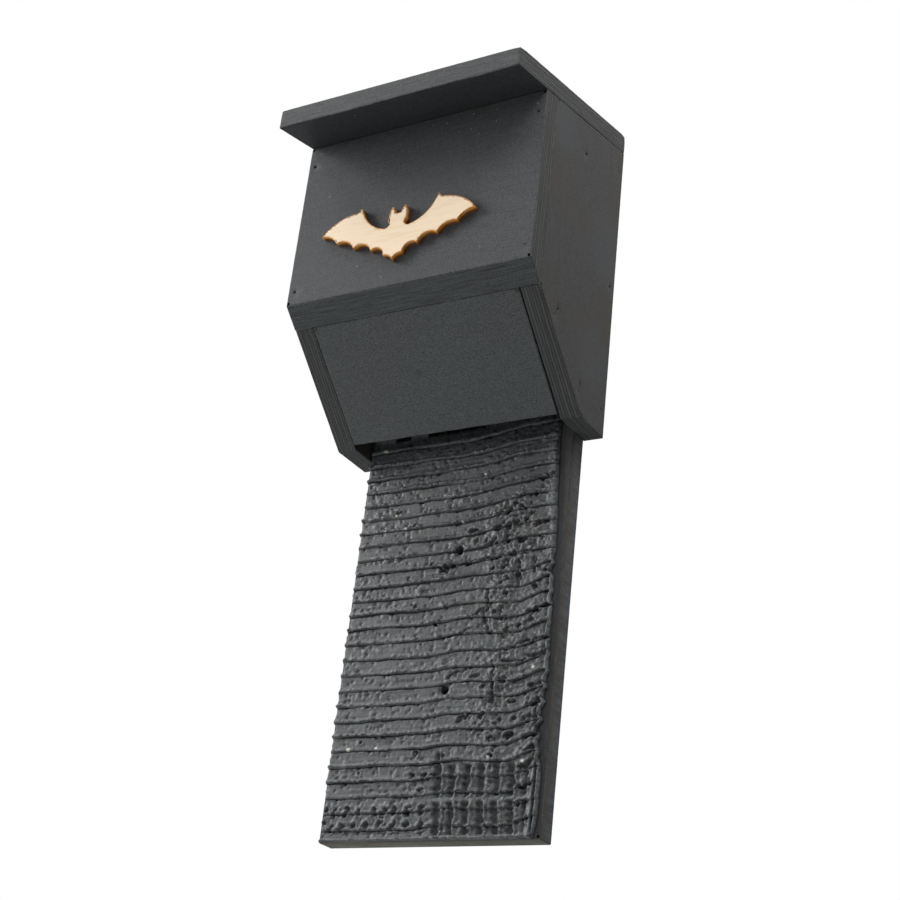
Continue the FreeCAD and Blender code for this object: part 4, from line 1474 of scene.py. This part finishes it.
        # The torn track: lumps, and ridges with sharp crests where the noise crosses zero.
        ridge = 1.0 - 2.2 * np.abs(noise(x / 3.6 + 0.6 * noise(z / 5.0, x / 6.0, 47), z / 3.0, 55))
        small = 1.0 - 2.2 * np.abs(noise(x / 1.8, z / 1.6, 56))
        rags = np.maximum(beads(bent_x / 2.7, bent_z / 2.4, 93, 0.5, 0.35),
                          0.6 * beads(bent_x / 1.6, bent_z / 1.4, 95, 0.5, 0.4))
        height += torn * (0.9 * rags + 0.4 * np.clip(ridge, -0.7, 1) + 0.2 * small - 0.1)

        # Slow waves, fine roughness and the comb's faint scratches.
        height += 0.14 * noise(x / 9.0, z / 4.0, 57) + 0.04 * noise(x / 1.4, z / 1.1, 58)
        height += 0.07 * noise(x / 26.0, z / 0.9, 59) * (1 - band)

        pressed, rims = self.pressed(x, z)
        combed = self.combed(x, z)
        bead, gully = self.edge_bead(x, z, at.end)
        height += rims + bead - pressed - combed - gully

        thin = smoothstep(0.0, 0.9, x - at.start) * smoothstep(0.0, 1.1, at.end - x)
        thin *= smoothstep(0.0, 0.5, z - self.foot)
        height = np.clip(height, self.thinnest, self.thickest) - self.thinnest
        height = self.thinnest + height * (0.3 + 0.7 * thin)
        height = np.clip(self.screw_rims(at, height), self.thinnest - 0.05, self.thickest)

        # Painted shade: a dark band under each step line, where the step above overhangs, and in the torn
        # track's valleys.
        under = fade(0.012, 0.055, share) + smoothstep(0.972, 0.992, share)
        under = under * smoothstep(0.15, 0.6, strength)
        low = torn * (0.6 * np.clip(-ridge, 0, 1) + 0.2 * np.clip(-small, 0, 1)) * (1 - rags)
        # The first value greys raised places with rubbed paint and a painted highlight; the second is painted
        # shade in marks, grooves, creases, pores, gullies, torn valleys and under each step line.
        values = {
            "crest": np.clip(band * crumbs + 1.3 * np.clip(bead, 0, 1) + 0.7 * rims + 0.6 * grains
                             + torn * (0.4 * np.clip(ridge - 0.5, 0, 1) + 0.6 * rags), 0, 1),
            "recess_shade": np.clip(0.6 * pressed + 0.22 * np.clip(combed, 0, 2) + 0.52 * under + 0.4 * crease
                           + 0.8 * pores * (1 - band) + 0.5 * gully + 0.7 * low, 0, 1),
            "pale": self.specks(x, z),
            "lip": np.clip(bead, 0, 1) * np.clip(0.55 + 0.5 * noise(z / 4.0, x / 4.0, 76), 0.1, 1),
            "rough": np.clip(0.3 + band * busy + torn, 0, 1),
        }
        return at, height, values

    def specks(self, x: Array, z: Array) -> Array:
        """Pale grains, where the photograph shows them: 1 inside each one and 0 outside."""
        total = np.zeros_like(x)
        for cx, cz, size in self.GRAINS:
            near = np.hypot((x - cx), (z - cz) * 1.2)
            total = np.maximum(total, fade(0.6 * size, size, near))
        return total

    def make(self) -> bpy.types.Object:
        """Build the coat's mesh, dress it and put it on the frame."""
        at, height, values = self.surface()
        x, z = at.x, at.z

        # The points next to a screw hole's rim move onto it.
        for turn in (-1, 1):
            near = np.hypot(at.x - SCREW_X, at.z - turn * SCREW_Z)
            scale = np.where(np.abs(near - SCREW_RADIUS) < 0.36, SCREW_RADIUS / np.maximum(near, 1e-6), 1.0)
            x = SCREW_X + (x - SCREW_X) * scale
            z = turn * SCREW_Z + (z - turn * SCREW_Z) * scale
        inside = np.zeros(x.shape, bool)
        for turn in (-1, 1):
            inside |= np.hypot(x - SCREW_X, z - turn * SCREW_Z) < SCREW_RADIUS + 0.02
        points = np.stack((x, -PLY - height, z), axis=-1).reshape(-1, 3) * MM
        shell = Shell("crest", "recess_shade", "pale", "lip", "rough")
        shell.add_points(points, **{name: value.ravel() for name, value in values.items()})

        index = np.arange(x.size).reshape(x.shape)
        quads = grid_quads(index)
        gone = inside.ravel()[quads].all(axis=1)
        shell.add_faces(quads[~gone])

        # Walls down to the board, and the back that lies on it.
        border = np.concatenate((index[0, :-1], index[:-1, -1], index[-1, :0:-1], index[:0:-1, 0]))
        loops = [border] + self.hole_loops(quads, gone, points)
        backs = []
        for loop in loops:
            ring = points[loop].copy()
            ring[:, 1] = -PLY * MM
            start = shell.add_points(ring)
            back = start + np.arange(len(loop))
            shell.add_faces(np.stack((loop, np.roll(loop, -1), np.roll(back, -1), back), axis=-1))
            backs.append(back)
        shell.add_sheet(backs, np.array([0.0, 1.0, 0.0]))
        return dress(shell.build("grip_coat_looks"), "coat", GripPaint().material(), "grip_coat")

    @staticmethod
    def hole_loops(quads: Array, gone: Array, points: Array) -> list[Array]:
        """Rims of the screw holes: the edges that only one missing face holds, in order round each hole."""
        lost = quads[gone]
        edges = np.concatenate([np.stack((lost[:, k], lost[:, (k + 1) % 4]), axis=-1) for k in range(4)])
        pairs = {(a, b) for a, b in edges.tolist()}
        follow = {b: a for a, b in pairs if (b, a) not in pairs}
        loops = []
        while follow:
            start, here = next(iter(follow)), None
            loop = [start]
            here = follow.pop(start)
            while here != start:
                loop.append(here)
                here = follow.pop(here)
            loops.append(np.array(loop))
        return loops


# Emblem.


@dataclass
class Emblem:
    """The sawn bat on the front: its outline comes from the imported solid, its edges are rounded and burnt."""

    node: str = "bat_emblem"
    step: float = 0.45 * MM
    tiers: int = 10

    def outline(self) -> Array:
        """Outline of the front face, in order, evenly spaced and with its corners kept."""
        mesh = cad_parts[self.node].data
        places = np.zeros(len(mesh.vertices) * 3)
        mesh.vertices.foreach_get("co", places)
        places = places.reshape(-1, 3)
        front = places[:, 1].min()
        keys = np.round(places * 1e7).astype(np.int64)
        _, first, same = np.unique(keys, axis=0, return_index=True, return_inverse=True)
        same = same.ravel()
        on_front = np.abs(places[first][:, 1] - front) < 1e-6
        directed = set()
        for polygon in mesh.polygons:
            corners = [int(same[vertex]) for vertex in polygon.vertices]
            if all(on_front[corner] for corner in corners):
                directed |= set(zip(corners, corners[1:] + corners[:1]))
        follow = {a: b for a, b in directed if (b, a) not in directed}
        start = next(iter(sorted(follow)))
        loop, here = [start], follow[start]
        while here != start:
            loop.append(here)
            here = follow[here]
        corners = places[first][loop]
        ahead = np.roll(corners, -1, axis=0)
        pieces = []
        for a, b in zip(corners, ahead):
            count = max(1, int(round(np.linalg.norm(b - a) / self.step)))
            pieces.append(a + (b - a) * (np.arange(count) / count)[:, None])
        return np.concatenate(pieces)

    def make(self) -> bpy.types.Object:
        """Build the emblem's mesh, dress it and put it on the frame."""
        outline = self.outline()
        low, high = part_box(self.node)
        thick = high.y - low.y
        forward = np.array([0.0, -1.0, 0.0])
        inward = Board.inward(outline, forward)
        count = len(outline)
        shell = Shell("burn", "ply")
        rounding = ((0.0, 0.22), (0.05, 0.10), (0.13, 0.03), (0.24, 0.0), (0.38, 0.0))
        tint = (1.0, 0.9, 0.8, 0.65, 0.35)
        rings = []
        for (inset, back), burn in zip(rounding[::-1], tint[::-1]):
            ring = outline + inward * inset * MM
            ring[:, 1] = low.y + back * MM
            rings.append(shell.add_points(ring, burn=burn, ply=0.0) + np.arange(count))
        for share in np.linspace(0.12, 1.0, self.tiers):
            ring = outline.copy()
            ring[:, 1] = low.y + thick * share
            rings.append(shell.add_points(ring, burn=1.0, ply=share) + np.arange(count))
        turned = self.clockwise(outline)
        for one, two in zip(rings[:-1], rings[1:]):
            quads = closed_strip(one, two)
            shell.add_faces(quads[:, ::-1] if turned else quads)
        shell.add_sheet([rings[0]], forward, 0.9 * MM)
        shell.add_sheet([rings[-1]], -forward, 2.0 * MM, ply=1.0, burn=1.0)
        return dress(shell.build("bat_emblem_looks"), "pale_plywood", PalePly().material(), self.node)

    @staticmethod
    def clockwise(outline: Array) -> bool:
        """Whether the outline runs clockwise for a viewer in front of it."""
        x, z = outline[:, 0], outline[:, 2]
        return float((x * np.roll(z, -1) - np.roll(x, -1) * z).sum()) > 0


# Fasteners, studio and camera.


class FastenerNode(Enum):
    """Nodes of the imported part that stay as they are."""

    FRONT_NAILS = "front_nails"
    BACK_NAILS = "back_nails"
    ROOF_NAILS = "roof_nails"
    SIDE_PINS = "side_pins"
    PANEL_STAPLES = "panel_staples"


def paint_fasteners() -> None:
    """Give the fasteners their steel with paint on it."""
    steel = PaintedSteel().material()
    for kind in FastenerNode:
        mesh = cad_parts[kind.value].data
        mesh.materials.clear()
        mesh.materials.append(steel)
        log.info("%s: painted steel", kind.value)


@dataclass
class Lamp:
    """Rectangular soft light that looks at a point."""

    name: str
    place: tuple[float, float, float]
    size: float
    power: float
    target: tuple[float, float, float] = (0.0, -0.05, 0.09)

    def make(self) -> bpy.types.Object:
        """Add the lamp to the scene."""
        data = bpy.data.lights.new(self.name, "AREA")
        data.shape = "SQUARE"
        data.size = self.size
        data.energy = self.power
        lamp = bpy.data.objects.new(self.name, data)
        lamp.location = self.place
        aim = Vector(self.target) - Vector(self.place)
        lamp.rotation_euler = aim.to_track_quat("-Z", "Y").to_euler()
        lamp.visible_camera = False
        bpy.context.scene.collection.objects.link(lamp)
        return lamp


@dataclass
class Studio:
    """White surroundings, a pale floor far below, and soft lamps."""

    floor_height: float = -1.1
    ambient: float = 0.0
    lamps: tuple[Lamp, ...] = (
        Lamp("left_middle", (-1.587, -0.824, 1.029), 0.6, 27.0),
        Lamp("left_low", (-1.770, -0.913, 0.437), 0.6, 14.5),
        Lamp("left_high", (-0.953, -0.515, 1.786), 0.6, 11.0),
        Lamp("left_under", (-0.486, -0.092, -0.606), 0.5, 1.4),
        Lamp("front_low", (-0.677, -1.911, -0.188), 1.6, 6.0),
        Lamp("front_high", (0.809, -1.451, 1.266), 1.6, 4.5),
        Lamp("right_top", (0.390, -0.275, 0.811), 0.5, 5.5),
        Lamp("back_high", (-0.5, 1.5, 0.9), 1.2, 9.0),
    )

    def make(self) -> None:
        """Build the surroundings."""
        self.world()
        mesh = bpy.data.meshes.new("floor")
        reach = 6.0
        corners = ((-reach, -reach), (reach, -reach), (reach, reach), (-reach, reach))
        mesh.from_pydata([(x, y, self.floor_height) for x, y in corners], [], [(0, 1, 2, 3)])
        floor = bpy.data.objects.new("floor", mesh)
        floor.data.materials.append(PaleGround().material())
        bpy.context.scene.collection.objects.link(floor)
        for lamp in self.lamps:
            lamp.make()

    def world(self) -> None:
        """Even light of the surroundings, which look white to the camera and in gloss."""
        world = bpy.data.worlds.new("white_room")
        world.use_nodes = True
        tree = world.node_tree
        tree.nodes.clear()
        path = tree.nodes.new("ShaderNodeLightPath")
        seen = None
        for ray in ("Is Camera Ray", "Is Glossy Ray", "Is Transmission Ray"):
            if seen is None:
                seen = path.outputs[ray]
                continue
            either = tree.nodes.new("ShaderNodeMath")
            either.operation = "MAXIMUM"
            tree.links.new(seen, either.inputs[0])
            tree.links.new(path.outputs[ray], either.inputs[1])
            seen = either.outputs[0]
        light = tree.nodes.new("ShaderNodeBackground")
        light.inputs["Strength"].default_value = self.ambient
        white = tree.nodes.new("ShaderNodeBackground")
        blend = tree.nodes.new("ShaderNodeMixShader")
        for background in (light, white):
            background.inputs["Color"].default_value = (1, 1, 1, 1)
        tree.links.new(seen, blend.inputs[0])
        tree.links.new(light.outputs[0], blend.inputs[1])
        tree.links.new(white.outputs[0], blend.inputs[2])
        tree.links.new(blend.outputs[0], tree.nodes.new("ShaderNodeOutputWorld").inputs[0])
        bpy.context.scene.world = world


@dataclass
class PhotoCamera:
    """Camera at the photograph's place: below the box, on its right and looking up."""

    place: tuple[float, float, float] = (0.45668, -0.75520, -0.30647)
    right: tuple[float, float, float] = (0.8660, 0.4890, 0.1047)
    back: tuple[float, float, float] = (0.4837, -0.7660, -0.4234)
    lens: float = 67.97
    film: float = 36.0

    def make(self) -> bpy.types.Object:
        """Add the camera and make it the scene's own."""
        data = bpy.data.cameras.new("photo_camera")
        data.lens = self.lens
        data.sensor_width = self.film
        data.clip_start = 0.01
        camera = bpy.data.objects.new("photo_camera", data)
        back = Vector(self.back).normalized()
        right = Vector(self.right)
        right = (right - right.dot(back) * back).normalized()
        up = back.cross(right)
        turn = Matrix((right, up, back)).transposed().to_4x4()
        camera.matrix_world = Matrix.Translation(self.place) @ turn
        bpy.context.scene.collection.objects.link(camera)
        bpy.context.scene.camera = camera
        return camera


def main() -> None:
    """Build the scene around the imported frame."""
    logging.basicConfig(level=logging.INFO, format="%(name)s: %(message)s")
    bpy.context.scene.view_settings.view_transform = "Standard"
    Studio().make()
    PhotoCamera().make()
    Carcass().make()
    GripCoat().make()
    Emblem().make()
    paint_fasteners()


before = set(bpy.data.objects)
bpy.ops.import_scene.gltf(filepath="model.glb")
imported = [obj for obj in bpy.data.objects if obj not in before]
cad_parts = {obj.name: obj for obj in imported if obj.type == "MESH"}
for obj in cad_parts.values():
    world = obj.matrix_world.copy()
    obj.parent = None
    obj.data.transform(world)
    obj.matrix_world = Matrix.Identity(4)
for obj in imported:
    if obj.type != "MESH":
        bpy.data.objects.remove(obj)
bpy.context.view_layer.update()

if __name__ == "__main__":
    main()
